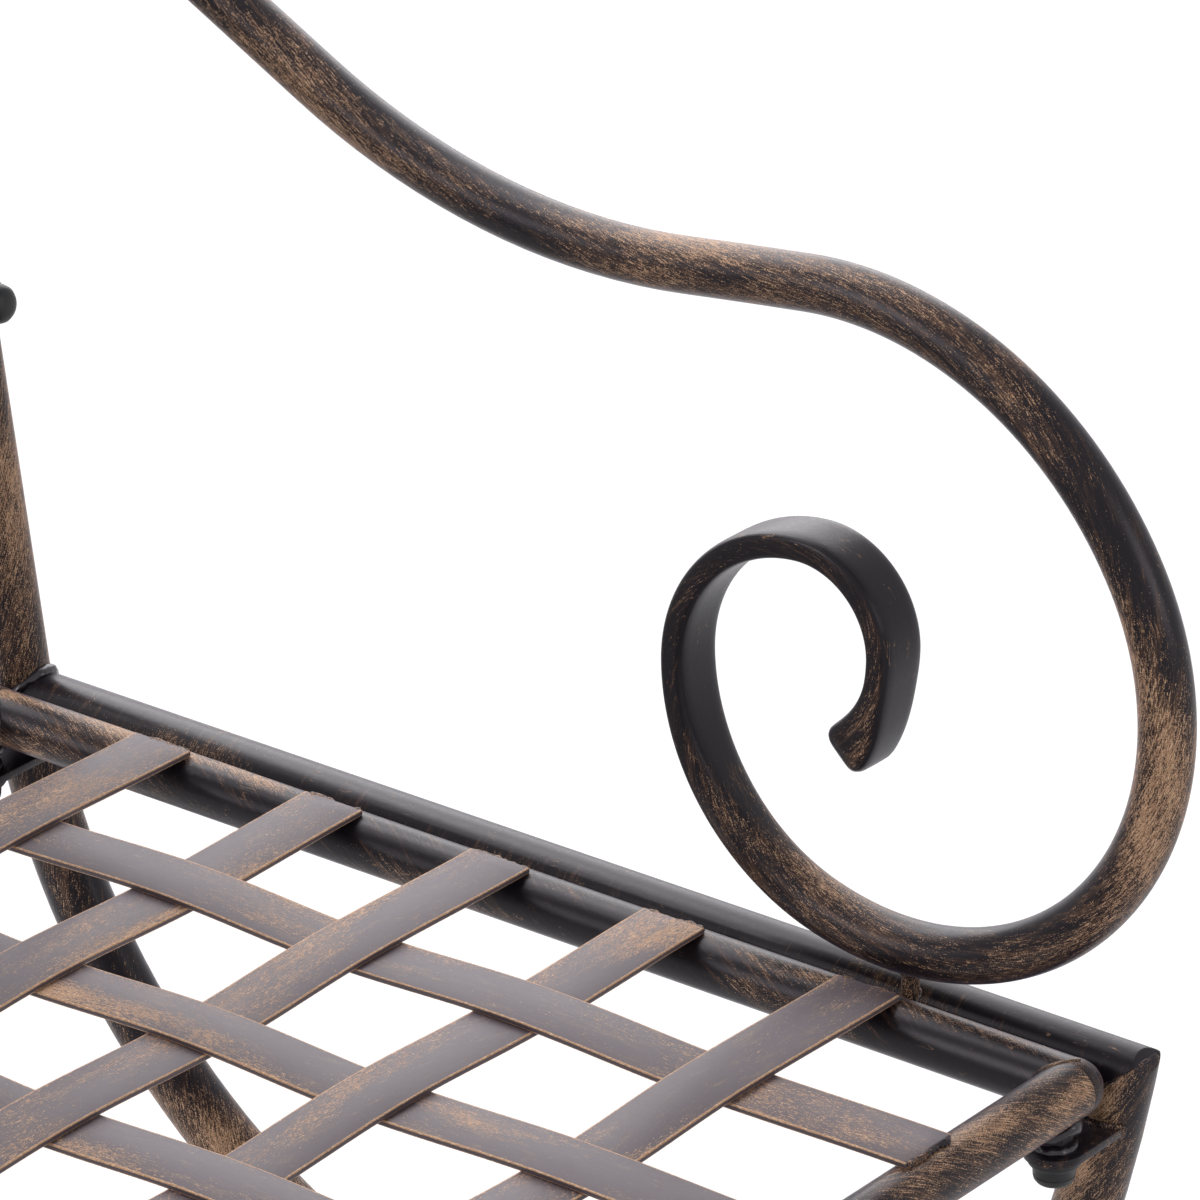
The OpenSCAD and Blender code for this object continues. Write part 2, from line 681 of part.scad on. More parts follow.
// Angle round a bend's centre at which its tube's axis reaches the floor
function floor_angle(c, r) = asin((-seat_h - c[1]) / r);
module front_foot_caps() {
    color(black) both() in_side_plane()
        foot_cap(rear_centre, rear_foot_r, 180 - floor_angle(rear_centre, rear_foot_r));
}
module rear_foot_caps() {
    color(black) both() in_side_plane()
        foot_cap(leg_centre, leg_foot_r, floor_angle(leg_centre, leg_foot_r));
}
module post_plugs() {
    plug_r = (frame_r * frame_r + plug_h * plug_h) / (2 * plug_h);
    color(black) both() in_side_plane() leaning() translate([0, 0, post_len]) {
        intersection() {
            translate([0, 0, plug_h - plug_r]) sphere(r = plug_r);
            cylinder(r = frame_r, h = plug_h);
        }
        translate([0, 0, -plug_len]) cylinder(r = frame_r - wall, h = plug_len);
    }
}

// The stretcher runs between the two crossings
plug_len = 14;
module at_cross() { translate([0, cross[0], cross[1]]) rotate([0, 90, 0]) children(); }
module stretcher() {
    color(bronze) placed() difference() {
        at_cross() linear_extrude(2 * side_x, center = true) section(stretcher_d, wall);
        for (g = [1, -1]) translate([g * side_x, 0, 0]) {
            leg_bar(0);
            rear_foot_bar(0);
        }
    }
}
// Threaded plugs inside the ends of the stretcher
module stretcher_plugs() {
    color(bronze) both() at_cross() translate([0, 0, side_x - frame_r - over - plug_len]) difference() {
        cylinder(d = stretcher_d - 2 * wall, h = plug_len);
        translate([0, 0, -over]) cylinder(d = bolt_d, h = plug_len + 2 * over);
    }
}
module stretcher_bolts() { color(zinc) both() in_side_plane() at_cross() saddle_bolt(plug_len); }
module stretcher_bolt_caps() {
    color(black) both() in_side_plane() difference() {
        at_cross() saddle_cap();
        leg_bar(0);
        rear_foot_bar(0);
    }
}

side_rail(1);  // side_rail_right
side_rail(-1);  // side_rail_left
front_leg(1);  // front_leg_right
front_leg(-1);  // front_leg_left
back_post(1);  // back_post_right
back_post(-1);  // back_post_left
lower_leg(1);  // lower_leg_right
lower_leg(-1);  // lower_leg_left
arm(1);  // arm_right
arm(-1);  // arm_left
arm_peg(1);  // arm_peg_right
arm_peg(-1);  // arm_peg_left
front_tabs();
rear_tabs();
front_foot_caps();
rear_foot_caps();
post_plugs();
seat_front_rail();
seat_rear_rail();
seat_side_rail(1);  // seat_side_rail_right
seat_side_rail(-1);  // seat_side_rail_left
for (i = [0:seat_cross_n - 1])
    seat_cross_strap(i);
for (i = [0:seat_long_n - 1])
    seat_long_strap(i);
seat_nuts();
seat_bolts();
seat_bolt_caps();
back_arch();
back_bottom_rail();
back_stile(1);  // back_stile_right
back_stile(-1);  // back_stile_left
back_tabs();
for (i = [0:back_cross_n - 1])
    back_cross_strap(i);
for (i = [0:back_up_n - 1])
    back_up_strap(i);
back_bolts();
back_nuts();
back_bolt_caps();
stretcher();
stretcher_plugs();
stretcher_bolts();
stretcher_bolt_caps();
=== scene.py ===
"""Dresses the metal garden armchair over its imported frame.

The bent tubes, scroll arms, woven straps, welds, tabs and caps are modelled over the frame's solids
and finished in black paint with bronze brushed over it by hand. All lengths are in metres.
"""

import logging
import math
import random
from contextlib import contextmanager
from dataclasses import dataclass
from enum import Enum
from typing import Callable, Iterator, Sequence

import bmesh
import bpy
from mathutils import Matrix, Vector


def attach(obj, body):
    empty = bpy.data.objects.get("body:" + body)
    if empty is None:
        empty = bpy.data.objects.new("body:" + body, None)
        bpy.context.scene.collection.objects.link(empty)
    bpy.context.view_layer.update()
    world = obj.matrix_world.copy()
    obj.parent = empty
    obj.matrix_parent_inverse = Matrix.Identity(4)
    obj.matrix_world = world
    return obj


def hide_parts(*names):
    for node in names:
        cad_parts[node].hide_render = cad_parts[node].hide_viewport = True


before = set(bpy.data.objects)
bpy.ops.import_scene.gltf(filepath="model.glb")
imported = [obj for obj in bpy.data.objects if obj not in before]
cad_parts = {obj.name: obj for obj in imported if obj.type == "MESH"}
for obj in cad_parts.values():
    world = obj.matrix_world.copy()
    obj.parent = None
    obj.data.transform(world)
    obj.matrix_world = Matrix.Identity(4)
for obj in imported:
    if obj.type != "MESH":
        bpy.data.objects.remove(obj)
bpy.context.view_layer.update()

LOG = logging.getLogger("garden_armchair")
GRAIN = "grain"
BODY = "root"
# Slides the left-hand pieces' grain, so that twins aren't brushed alike.
TWIN_SHIFT = 17.3
# Slides the arms' grain, so that their bare stretches lie where the photograph has them.
ARM_GRAIN_SHIFT = 2.93
# Where the pressed end of an arm begins, from its post.
ARM_PRESSED_RUN = 0.86
# Points nearer to each other than this are one.
MERGE_GAP = 1e-6
# A tube runs up to the bar that it meets from this far when their ring is worked out.
RUN_UP = 0.1
X_AXIS = Vector((1.0, 0.0, 0.0)).freeze()
Y_AXIS = Vector((0.0, 1.0, 0.0)).freeze()
Z_AXIS = Vector((0.0, 0.0, 1.0)).freeze()
MIRROR = Matrix.Scale(-1.0, 4, X_AXIS)
ACROSS = Matrix.Rotation(math.radians(-90.0), 4, "Z")
UPRIGHT = Matrix.Rotation(math.radians(90.0), 4, "X")
WHITE = (1.0, 1.0, 1.0, 1.0)

Colour = tuple[float, float, float]
Piece = bpy.types.Object
Socket = bpy.types.NodeSocket


# Sizes that all pieces share


@dataclass(frozen=True)
class ChairSizes:
    """Sizes that several sub-assemblies share, the same as in the part's source."""

    seat_width: float = 0.521
    seat_depth: float = 0.442
    seat_height: float = 0.425
    middle: float = 0.251946
    side_plane: float = 0.282
    lean: float = 9.0
    post_back: float = 0.008
    post_length: float = 0.475
    rail_drop: float = 0.003
    frame_radius: float = 0.011
    panel_radius: float = 0.0095
    strap_width: float = 0.024
    strap_thickness: float = 0.002
    foot_sole: float = 0.003

    @property
    def post_y(self) -> float:
        """Where a post's axis crosses the height of the seat rails."""
        return self.seat_depth + self.post_back

    @property
    def place(self) -> Matrix:
        """Moves a drawing from the seat's front rail to the chair's own origin."""
        return Matrix.Translation((0.0, -self.middle, self.seat_height))

    @property
    def side(self) -> Matrix:
        """Moves a drawing in the plane of y and z to the right side frame."""
        return self.place @ Matrix.Translation((self.side_plane, 0.0, 0.0))

    @property
    def post(self) -> tuple[Vector, Vector, float]:
        """A post as a bar in its side frame: a point on its axis, its direction and its radius."""
        lean = math.radians(self.lean)
        up = Vector((0.0, math.sin(lean), math.cos(lean)))
        return Vector((0.0, self.post_y, 0.0)), up, self.frame_radius

    @property
    def back(self) -> Matrix:
        """Stands a drawing whose z runs up the posts in the leaning back."""
        return (
            self.place
            @ Matrix.Translation((0.0, self.post_y, 0.0))
            @ Matrix.Rotation(math.radians(-self.lean), 4, "X")
        )


CHAIR = ChairSizes()


# Paths of bent tubes


@dataclass(frozen=True)
class Station:
    """A place on a tube's axis in its plane, with the heading there in degrees."""

    y: float
    z: float
    heading: float

    @property
    def point(self) -> Vector:
        """The place as a vector in the plane of y and z."""
        return Vector((0.0, self.y, self.z))

    @property
    def along(self) -> Vector:
        """The direction of travel."""
        turn = math.radians(self.heading)
        return Vector((0.0, math.cos(turn), math.sin(turn)))


@dataclass(frozen=True)
class Bend:
    """One stretch of tube: an arc that turns by sweep degrees, or a run where radius is 0."""

    radius: float
    sweep: float

    @property
    def length(self) -> float:
        """Length of the stretch along its axis."""
        return self.sweep if self.radius == 0 else self.radius * math.radians(abs(self.sweep))

    def centre(self, start: Station) -> Vector:
        """Finds the middle of the arc.

        Args:
            start: Where the arc begins.

        Returns:
            The arc's centre in the plane of y and z.
        """
        turn = math.radians(start.heading)
        reach = math.copysign(self.radius, self.sweep)
        return Vector((0.0, start.y - reach * math.sin(turn), start.z + reach * math.cos(turn)))

    def end(self, start: Station, share: float = 1.0) -> Station:
        """Follows the stretch.

        Args:
            start: Where the stretch begins.
            share: How much of the stretch to follow.

        Returns:
            The station reached.
        """
        if self.radius == 0:
            point = start.point + start.along * self.sweep * share
            return Station(point.y, point.z, start.heading)
        middle = self.centre(start)
        heading = start.heading + share * self.sweep
        angle = math.radians(heading - math.copysign(90.0, self.sweep))
        return Station(
            middle.y + self.radius * math.cos(angle),
            middle.z + self.radius * math.sin(angle),
            heading,
        )


@dataclass(frozen=True)
class TubePath:
    """The axis of a bent tube in the plane of y and z."""

    start: Station
    bends: tuple[Bend, ...]
    margin: float = 0.02

    def stations(self) -> list[Station]:
        """Lists the start and the end of every stretch.

        Returns:
            The stations, one more than there are stretches.
        """
        found = [self.start]
        for bend in self.bends:
            found.append(bend.end(found[-1]))
        return found

    @property
    def length(self) -> float:
        """Length of the whole axis."""
        return sum(bend.length for bend in self.bends)

    def locate(self, point: Vector) -> tuple[float, float]:
        """Finds how far along and how far left of the axis a point lies.

        Args:
            point: A point whose y and z are in the path's plane.

        Returns:
            The distance along the axis and the offset to the left of travel.
        """
        best = (math.inf, 0.0, 0.0)
        run = 0.0
        last = len(self.bends) - 1
        for number, (bend, start) in enumerate(zip(self.bends, self.stations())):
            if bend.radius == 0:
                away = point - start.point
                along = away.dot(start.along)
                offset = start.along.y * away.z - start.along.z * away.y
            else:
                middle = bend.centre(start)
                side = math.copysign(1.0, bend.sweep)
                away_y, away_z = point.y - middle.y, point.z - middle.z
                turned = math.degrees(math.atan2(away_z, away_y)) - (start.heading - 90.0 * side)
                turned = (side * turned + 180.0) % 360.0 - 180.0
                along = math.radians(turned) * bend.radius
                offset = side * (bend.radius - math.hypot(away_y, away_z))
            low = -self.margin if number == 0 else 0.0
            high = bend.length + self.margin * (number == last)
            miss = math.hypot(along - min(max(along, low), high), offset)
            if miss < best[0]:
                best = (miss, run + along, offset)
            run += bend.length
        return best[1], best[2]


# Modelling tools


def focus(piece: Piece) -> None:
    """Makes one piece the only selected one and the active one.

    Args:
        piece: The piece to work on.
    """
    if bpy.context.mode != "OBJECT":
        bpy.ops.object.mode_set(mode="OBJECT")
    bpy.ops.object.select_all(action="DESELECT")
    piece.select_set(True)
    bpy.context.view_layer.objects.active = piece


@contextmanager
def edit_mode(piece: Piece) -> Iterator[None]:
    """Opens a piece for editing with all of it selected.

    Args:
        piece: The piece to edit.

    Yields:
        Nothing, while the piece is in edit mode.
    """
    focus(piece)
    bpy.ops.object.mode_set(mode="EDIT")
    bpy.ops.mesh.select_mode(type="VERT")
    bpy.ops.mesh.select_all(action="SELECT")
    yield
    bpy.ops.object.mode_set(mode="OBJECT")


def pick_edges(piece: Piece, wanted: Callable[[Vector, Vector], bool]) -> None:
    """Selects the edges whose two ends fit a test, and nothing else, in edit mode.

    Args:
        piece: The piece in edit mode.
        wanted: Told the two ends of an edge, says whether it is wanted.
    """
    bpy.ops.mesh.select_mode(type="EDGE")
    bpy.ops.mesh.select_all(action="DESELECT")
    shape = bmesh.from_edit_mesh(piece.data)
    for edge in shape.edges:
        if wanted(edge.verts[0].co, edge.verts[1].co):
            edge.select_set(True)
    bmesh.update_edit_mesh(piece.data)


def named(name: str) -> Piece:
    """Names the primitive just added and puts its place into its mesh.

    Args:
        name: The piece's name.

    Returns:
        The piece.
    """
    piece = bpy.context.object
    piece.name = piece.data.name = name
    bpy.ops.object.transform_apply(location=True, rotation=True, scale=True)
    return piece


def close_up(piece: Piece) -> None:
    """Merges doubles, closes open ends and points the faces outwards.

    Args:
        piece: The piece to close.
    """
    with edit_mode(piece):
        bpy.ops.mesh.remove_doubles(threshold=MERGE_GAP)
        bpy.ops.mesh.fill_holes(sides=0)
        bpy.ops.mesh.select_all(action="SELECT")
        bpy.ops.mesh.normals_make_consistent(inside=False)


def trim(piece: Piece, point: Sequence[float], outward: Sequence[float]) -> None:
    """Saws off all that lies beyond a plane and closes the cut.

    Args:
        piece: The closed piece to saw.
        point: A point on the plane.
        outward: Direction of the part that falls off.
    """
    with edit_mode(piece):
        bpy.ops.mesh.bisect(
            plane_co=point, plane_no=outward, use_fill=True, clear_outer=True, clear_inner=False
        )


def soften(piece: Piece, width: float, segments: int = 2, angle: float = 40.0) -> None:
    """Rounds the sharp edges of a piece and smooths its shading.

    Args:
        piece: The piece to soften.
        width: Width of the rounding.
        segments: Faces across the rounding.
        angle: Edges sharper than this many degrees are rounded.
    """
    focus(piece)
    if width > 0:
        rounding = piece.modifiers.new("Rounded edges", "BEVEL")
        rounding.width = width
        rounding.segments = segments
        rounding.limit_method = "ANGLE"
        rounding.angle_limit = math.radians(angle)
        bpy.ops.object.modifier_apply(modifier=rounding.name)
    bpy.ops.object.shade_smooth()
    bpy.ops.object.shade_smooth_by_angle(angle=math.radians(angle))


def bent_tube(
    name: str, path: TubePath, radius: float, sides: int = 40, step: float = 2.5
) -> Piece:
    """Bends a closed round bar along a path in the plane of y and z.

    Args:
        name: The piece's name.
        path: The axis to follow.
        radius: Outer radius of the tube.
        sides: Faces round the tube.
        step: Degrees between rings in a bend.

    Returns:
        The bent bar, with both ends closed.
    """
    bpy.ops.object.select_all(action="DESELECT")
    bpy.ops.mesh.primitive_circle_add(
        vertices=sides,
        radius=radius,
        fill_type="NOTHING",
        location=path.start.point,
        rotation=(math.radians(path.start.heading - 90.0), 0.0, 0.0),
    )
    piece = named(name)
    with edit_mode(piece):
        for bend, start in zip(path.bends, path.stations()):
            if bend.radius == 0:
                bpy.ops.mesh.extrude_region_move(
                    TRANSFORM_OT_translate={"value": start.along * bend.sweep}
                )
            else:
                bpy.ops.mesh.spin(
                    steps=max(3, math.ceil(abs(bend.sweep) / step)),
                    angle=math.radians(-bend.sweep),
                    center=bend.centre(start),
                    axis=(1.0, 0.0, 0.0),
                )
    close_up(piece)
    return piece


def turned(name: str, profile: Sequence[tuple[float, float]], sides: int = 40) -> Piece:
    """Turns a round piece about the z axis, ring by ring, and closes both ends.

    Args:
        name: The piece's name.
        profile: Radius and height of each ring, from one end to the other.
        sides: Faces round the piece.

    Returns:
        The turned piece.
    """
    radius, height = profile[0]
    bpy.ops.object.select_all(action="DESELECT")
    bpy.ops.mesh.primitive_circle_add(
        vertices=sides, radius=radius, fill_type="NOTHING", location=(0.0, 0.0, height)
    )
    piece = named(name)
    with edit_mode(piece):
        for wide, high in profile[1:]:
            bpy.ops.mesh.extrude_region_move(
                TRANSFORM_OT_translate={"value": (0.0, 0.0, high - height)}
            )
            bpy.ops.transform.resize(
                value=(wide / radius, wide / radius, 1.0), center_override=(0.0, 0.0, high)
            )
            radius, height = wide, high
    close_up(piece)
    soften(piece, 0.0, angle=38.0)
    return piece


@dataclass(frozen=True)
class Lumps:
    """How lumpy a weld bead is, in shares of its radius."""

    kept: float = 0.42
    fresh: float = 0.58
    least: float = 0.5
    most: float = 1.55
    at_end: float = 0.6
    dents: float = 0.45


LUMPS = Lumps()


def bead(name: str, points: Sequence[Vector], radius: float, seed: int, ring: bool = True) -> Piece:
    """Lays a lumpy weld bead along some points.

    Args:
        name: The piece's name.
        points: Middle of the bead, point by point.
        radius: Radius of the bead.
        seed: Seed of its lumps.
        ring: Whether the bead closes on itself.

    Returns:
        The bead as a closed mesh.
    """
    dice = random.Random(seed)
    line = bpy.data.curves.new(name, "CURVE")
    line.dimensions = "3D"
    line.bevel_depth = radius
    line.bevel_resolution = 2
    line.use_fill_caps = True
    spline = line.splines.new("POLY")
    spline.points.add(len(points) - 1)
    swell = 1.0
    for number, (knot, point) in enumerate(zip(spline.points, points)):
        swell = LUMPS.kept * swell + LUMPS.fresh * dice.uniform(LUMPS.least, LUMPS.most)
        end = LUMPS.at_end if not ring and number in (0, len(points) - 1) else 1.0
        knot.co = (*point, 1.0)
        knot.radius = swell * end
    spline.use_cyclic_u = ring
    piece = bpy.data.objects.new(name, line)
    bpy.context.scene.collection.objects.link(piece)
    focus(piece)
    bpy.ops.object.convert(target="MESH")
    piece = bpy.context.object
    piece.name = piece.data.name = name
    with edit_mode(piece):
        bpy.ops.mesh.remove_doubles(threshold=MERGE_GAP)
        bpy.ops.mesh.subdivide(number_cuts=1)
        bpy.ops.transform.vertex_random(offset=radius * LUMPS.dents, seed=seed)
        bpy.ops.mesh.vertices_smooth(factor=0.5, repeat=2)
        bpy.ops.mesh.normals_make_consistent(inside=False)
    soften(piece, 0.0, angle=180.0)
    return piece


def joined(first: Piece, others: Sequence[Piece]) -> Piece:
    """Joins pieces into the first.

    Args:
        first: The piece that keeps its name.
        others: The pieces to add to it.

    Returns:
        The joined piece.
    """
    focus(first)
    for other in others:
        other.select_set(True)
    bpy.ops.object.join()
    return first


def lay_grain(piece: Piece, place: Callable[[Vector], Vector]) -> None:
    """Writes where each point lies across, above and along the stock it was made from.

    Args:
        piece: The piece.
        place: Gives a point's place on the stock.
    """
    shape = piece.data
    grain = shape.attributes.get(GRAIN) or shape.attributes.new(GRAIN, "FLOAT_VECTOR", "POINT")
    flat: list[float] = []
    for corner in shape.vertices:
        flat.extend(place(corner.co))
    grain.data.foreach_set("vector", flat)


def shift_grain(piece: Piece, shift: float) -> None:
    """Slides the grain along a piece, so that its finish differs from its twin's.

    Args:
        piece: The piece, with or without a grain.
        shift: Added to the distance along.
    """
    grain = piece.data.attributes.get(GRAIN)
    for spot in grain.data if grain else ():
        spot.vector = spot.vector + Vector((0.0, 0.0, shift))


def grain_of_path(piece: Piece, path: TubePath, shift: float = 0.0) -> None:
    """Lays the grain of a bent tube along its path.

    Args:
        piece: The tube, still in the plane of y and z.
        path: Its axis.
        shift: Added to the distance along, so that tubes differ.
    """

    def place(corner: Vector) -> Vector:
        """Gives a corner's place on the straight tube."""
        along, offset = path.locate(corner)
        return Vector((corner.x, offset, along + shift))

    lay_grain(piece, place)


def grain_of_run(piece: Piece, along: Vector, shift: float = 0.0) -> None:
    """Lays a straight grain on a small piece.

    Args:
        piece: The piece.
        along: Direction of the grain.
        shift: Added to the distance along, so that pieces differ.
    """
    side = along.orthogonal().normalized()
    up = along.cross(side)

    def place(corner: Vector) -> Vector:
        """Gives a corner's place along and across the grain."""
        return Vector((corner.dot(side), corner.dot(up), corner.dot(along) + shift))

    lay_grain(piece, place)


def settle(piece: Piece, place: Matrix) -> Piece:
    """Moves a piece's mesh to its place on the chair.

    Args:
        piece: The piece, drawn in its own frame.
        place: The move.

    Returns:
        The piece.
    """
    piece.data.transform(place)
    if place.determinant() < 0:
        piece.data.flip_normals()
    piece.data.update()
    return piece


def copied(piece: Piece, name: str, place: Matrix) -> Piece:
    """Makes a copy with its own mesh at another place.

    Args:
        piece: The piece to copy.
        name: Name of the copy.
        place: Where the copy goes, from where the piece is.

    Returns:
        The copy.
    """
    twin = piece.copy()
    twin.data = piece.data.copy()
    twin.name = twin.data.name = name
    bpy.context.scene.collection.objects.link(twin)
    return settle(twin, place)


def turn_angles(count: int) -> list[float]:
    """Lists the angles of evenly spaced points round a circle."""
    return [2.0 * math.pi * number / count for number in range(count)]


def saddle(
    bar: tuple[Vector, Vector, float], run: tuple[Vector, Vector, float], count: int = 40
) -> list[Vector]:
    """Finds the ring where a tube meets the outside of a bar.

    Args:
        bar: A point on the bar's axis, its direction and its radius.
        run: A point on the tube's axis, its direction towards the bar and its radius.
        count: Points in the ring.

    Returns:
        The ring's points.
    """
    bar_point, bar_axis, bar_radius = bar
    run_point, run_axis, run_radius = run
    across = run_axis.cross(bar_axis).normalized()
    up = run_axis.cross(across)
    slope = run_axis - bar_axis * run_axis.dot(bar_axis)
    ring = []
    for angle in turn_angles(count):
        rim = run_point + run_radius * (math.cos(angle) * across + math.sin(angle) * up)
        away = rim - bar_point
        away -= bar_axis * away.dot(bar_axis)
        a, b = slope.dot(slope), away.dot(slope)
        inside = max(0.0, b * b - a * (away.dot(away) - bar_radius**2))
        ring.append(rim + run_axis * (-b - math.sqrt(inside)) / a)
    return ring


# Finishes


class NodeWork:
    """A node tree, filled step by step."""

    def __init__(self, tree: bpy.types.NodeTree) -> None:
        """Takes up a node tree.

        Args:
            tree: The tree to fill.
        """
        self.tree = tree

    def feed(self, socket: Socket, value: object) -> None:
        """Links a socket to an output, or sets its value.

        Args:
            socket: The input socket.
            value: An output socket, or a plain value.
        """
        if isinstance(value, bpy.types.NodeSocket):
            self.tree.links.new(value, socket)
        else:
            socket.default_value = value

    def add(
        self, kind: str, feeds: dict[int | str, object], out: int | str = 0, **kept: object
    ) -> Socket:
        """Adds a node.

        Args:
            kind: The node's type.
            feeds: What goes into its sockets.
            out: Which output is wanted.
            **kept: The node's own settings.

        Returns:
            The wanted output.
        """
        node = self.tree.nodes.new(kind)
        for key, value in kept.items():
            setattr(node, key, value)
        for key, value in feeds.items():
            self.feed(node.inputs[key], value)
        return node.outputs[out]

    def math(self, operation: str, first: object, second: object = 0.0) -> Socket:
        """Adds a sum, product or other operation on two numbers."""
        return self.add("ShaderNodeMath", {0: first, 1: second}, operation=operation)

    def straight_sight(self) -> Socket:
        """Finds whether a ray comes from the camera, a reflection or a pane.

        Returns:
            1 for such a ray, and 0 for one that only carries light.
        """
        path = self.tree.nodes.new("ShaderNodeLightPath")
        seen = self.math("MAXIMUM", path.outputs["Is Camera Ray"], path.outputs["Is Glossy Ray"])
        return self.math("MAXIMUM", seen, path.outputs["Is Transmission Ray"])


class Paintwork(NodeWork):
    """The nodes of one material, round its shader."""

    def __init__(self, name: str) -> None:
        """Starts a material.

        Args:
            name: The material's name.
        """
        self.material = bpy.data.materials.new(name)
        self.material.use_nodes = True
        super().__init__(self.material.node_tree)
        self.shader = self.tree.nodes["Principled BSDF"]

    def dress(self, feeds: dict[str, object]) -> bpy.types.Material:
        """Feeds the shader's own sockets.

        Args:
            feeds: What goes into each socket, by the socket's name.

        Returns:
            The material.
        """
        for name, value in feeds.items():
            self.feed(self.shader.inputs[name], value)
        return self.material

    def plus_product(self, first: object, second: object, addend: object) -> Socket:
        """Multiplies two numbers and adds a third."""
        feeds = {0: first, 1: second, 2: addend}
        return self.add("ShaderNodeMath", feeds, operation="MULTIPLY_ADD")

    def scaled(self, vector: Socket, scale: Sequence[float]) -> Socket:
        """Multiplies a vector by another."""
        feeds = {0: vector, 1: tuple(scale)}
        return self.add("ShaderNodeVectorMath", feeds, operation="MULTIPLY")

    def noise(
        self, vector: Socket, scale: float, detail: float = 2.0, rough: float = 0.5
    ) -> Socket:
        """Adds cloudy noise of some scale.

        Args:
            vector: Where on the pattern a point lies.
            scale: Number of clouds in a unit of length.
            detail: Number of finer and finer layers.
            rough: How strong the finer layers are.

        Returns:
            The noise, about 0 to 1.
        """
        feeds = {"Vector": vector, "Scale": scale, "Detail": detail, "Roughness": rough}
        return self.add("ShaderNodeTexNoise", feeds)

    def ease(
        self, value: Socket, low: object, high: object, start: float = 0.0, end: float = 1.0
    ) -> Socket:
        """Maps a span of values smoothly to another, and holds it outside.

        Args:
            value: The value to map.
            low: Where the span begins.
            high: Where the span ends.
            start: The result at and below its beginning.
            end: The result at and above its end.

        Returns:
            The mapped value.
        """
        feeds = {"Value": value, "From Min": low, "From Max": high, "To Min": start, "To Max": end}
        return self.add("ShaderNodeMapRange", feeds, interpolation_type="SMOOTHSTEP")

    def blend(self, share: object, first: object, second: object) -> Socket:
        """Mixes two colours by a share."""
        pair = [(*c, 1.0) if isinstance(c, tuple) else c for c in (first, second)]
        return self.add("ShaderNodeMix", {0: share, 6: pair[0], 7: pair[1]}, 2, data_type="RGBA")

    def bump(self, height: Socket, strength: float, distance: float) -> Socket:
        """Raises the surface where a height is high."""
        feeds = {"Strength": strength, "Distance": distance, "Height": height}
        return self.add("ShaderNodeBump", feeds)

    def parts(self, vector: Socket) -> tuple[Socket, Socket, Socket]:
        """Splits a vector into its three numbers.

        Args:
            vector: The vector.

        Returns:
            Its x, y and z.
        """
        node = self.tree.nodes.new("ShaderNodeSeparateXYZ")
        self.tree.links.new(vector, node.inputs[0])
        return node.outputs[0], node.outputs[1], node.outputs[2]

    def own_place(self) -> Socket:
        """Reads where a point is on its object."""
        return self.add("ShaderNodeTexCoord", {}, "Object")

    def swept_grain(self) -> Socket:
        """Reads the grain that was laid on a piece."""
        return self.add("ShaderNodeAttribute", {}, "Vector", attribute_name=GRAIN)

    def straight_grain(self, along: Vector, centre: Vector) -> Socket:
        """Reads the grain of a straight piece from where a point is.

        Args:
            along: Direction of the piece.
            centre: A point on its axis.

        Returns:
            The place across, above and along the piece.
        """
        turn = along.rotation_difference(Z_AXIS)
        return self.add(
            "ShaderNodeMapping",
            {
                "Vector": self.own_place(),
                "Rotation": turn.to_euler(),
                "Location": -(turn @ centre),
            },
            vector_type="POINT",
        )


class Stroke(Enum):
    """Ways of brushing: fineness across and along a stroke, and its winding round the tube."""

    WOUND = (3000.0, 260.0, 38.0)
    LOOSE = (3100.0, 250.0, 24.0)
    LONG = (2900.0, 200.0, 62.0)
    RINGED = (420.0, 2700.0, 3.0)
    FLAT = (2300.0, 420.0, 0.0)
    SPOTS = (1900.0, 1500.0, 0.0)


@dataclass(frozen=True)
class StrokeLayer:
    """One layer of strokes: how its noise is drawn out, and from which height it shows."""

    stretch: tuple[float, float, float]
    detail: float
    rough: float
    bare: float
    soft: float
    want_gain: float = -0.30

    def drawn(self, work: Paintwork, wound: Socket) -> Socket:
        """Draws the layer's pattern along the strokes."""
        return work.noise(work.scaled(wound, self.stretch), 1.0, self.detail, self.rough)

    def shown(self, work: Paintwork, pattern: Socket, want: Socket) -> Socket:
        """Shows a pattern where enough bronze is wanted.

        Args:
            work: The material's nodes.
            pattern: The pattern, about 0 to 1.
            want: The share of bronze that each place got.

        Returns:
            The share shown.
        """
        level = work.plus_product(want, self.want_gain, self.bare)
        return work.ease(pattern, level, work.math("ADD", level, self.soft))


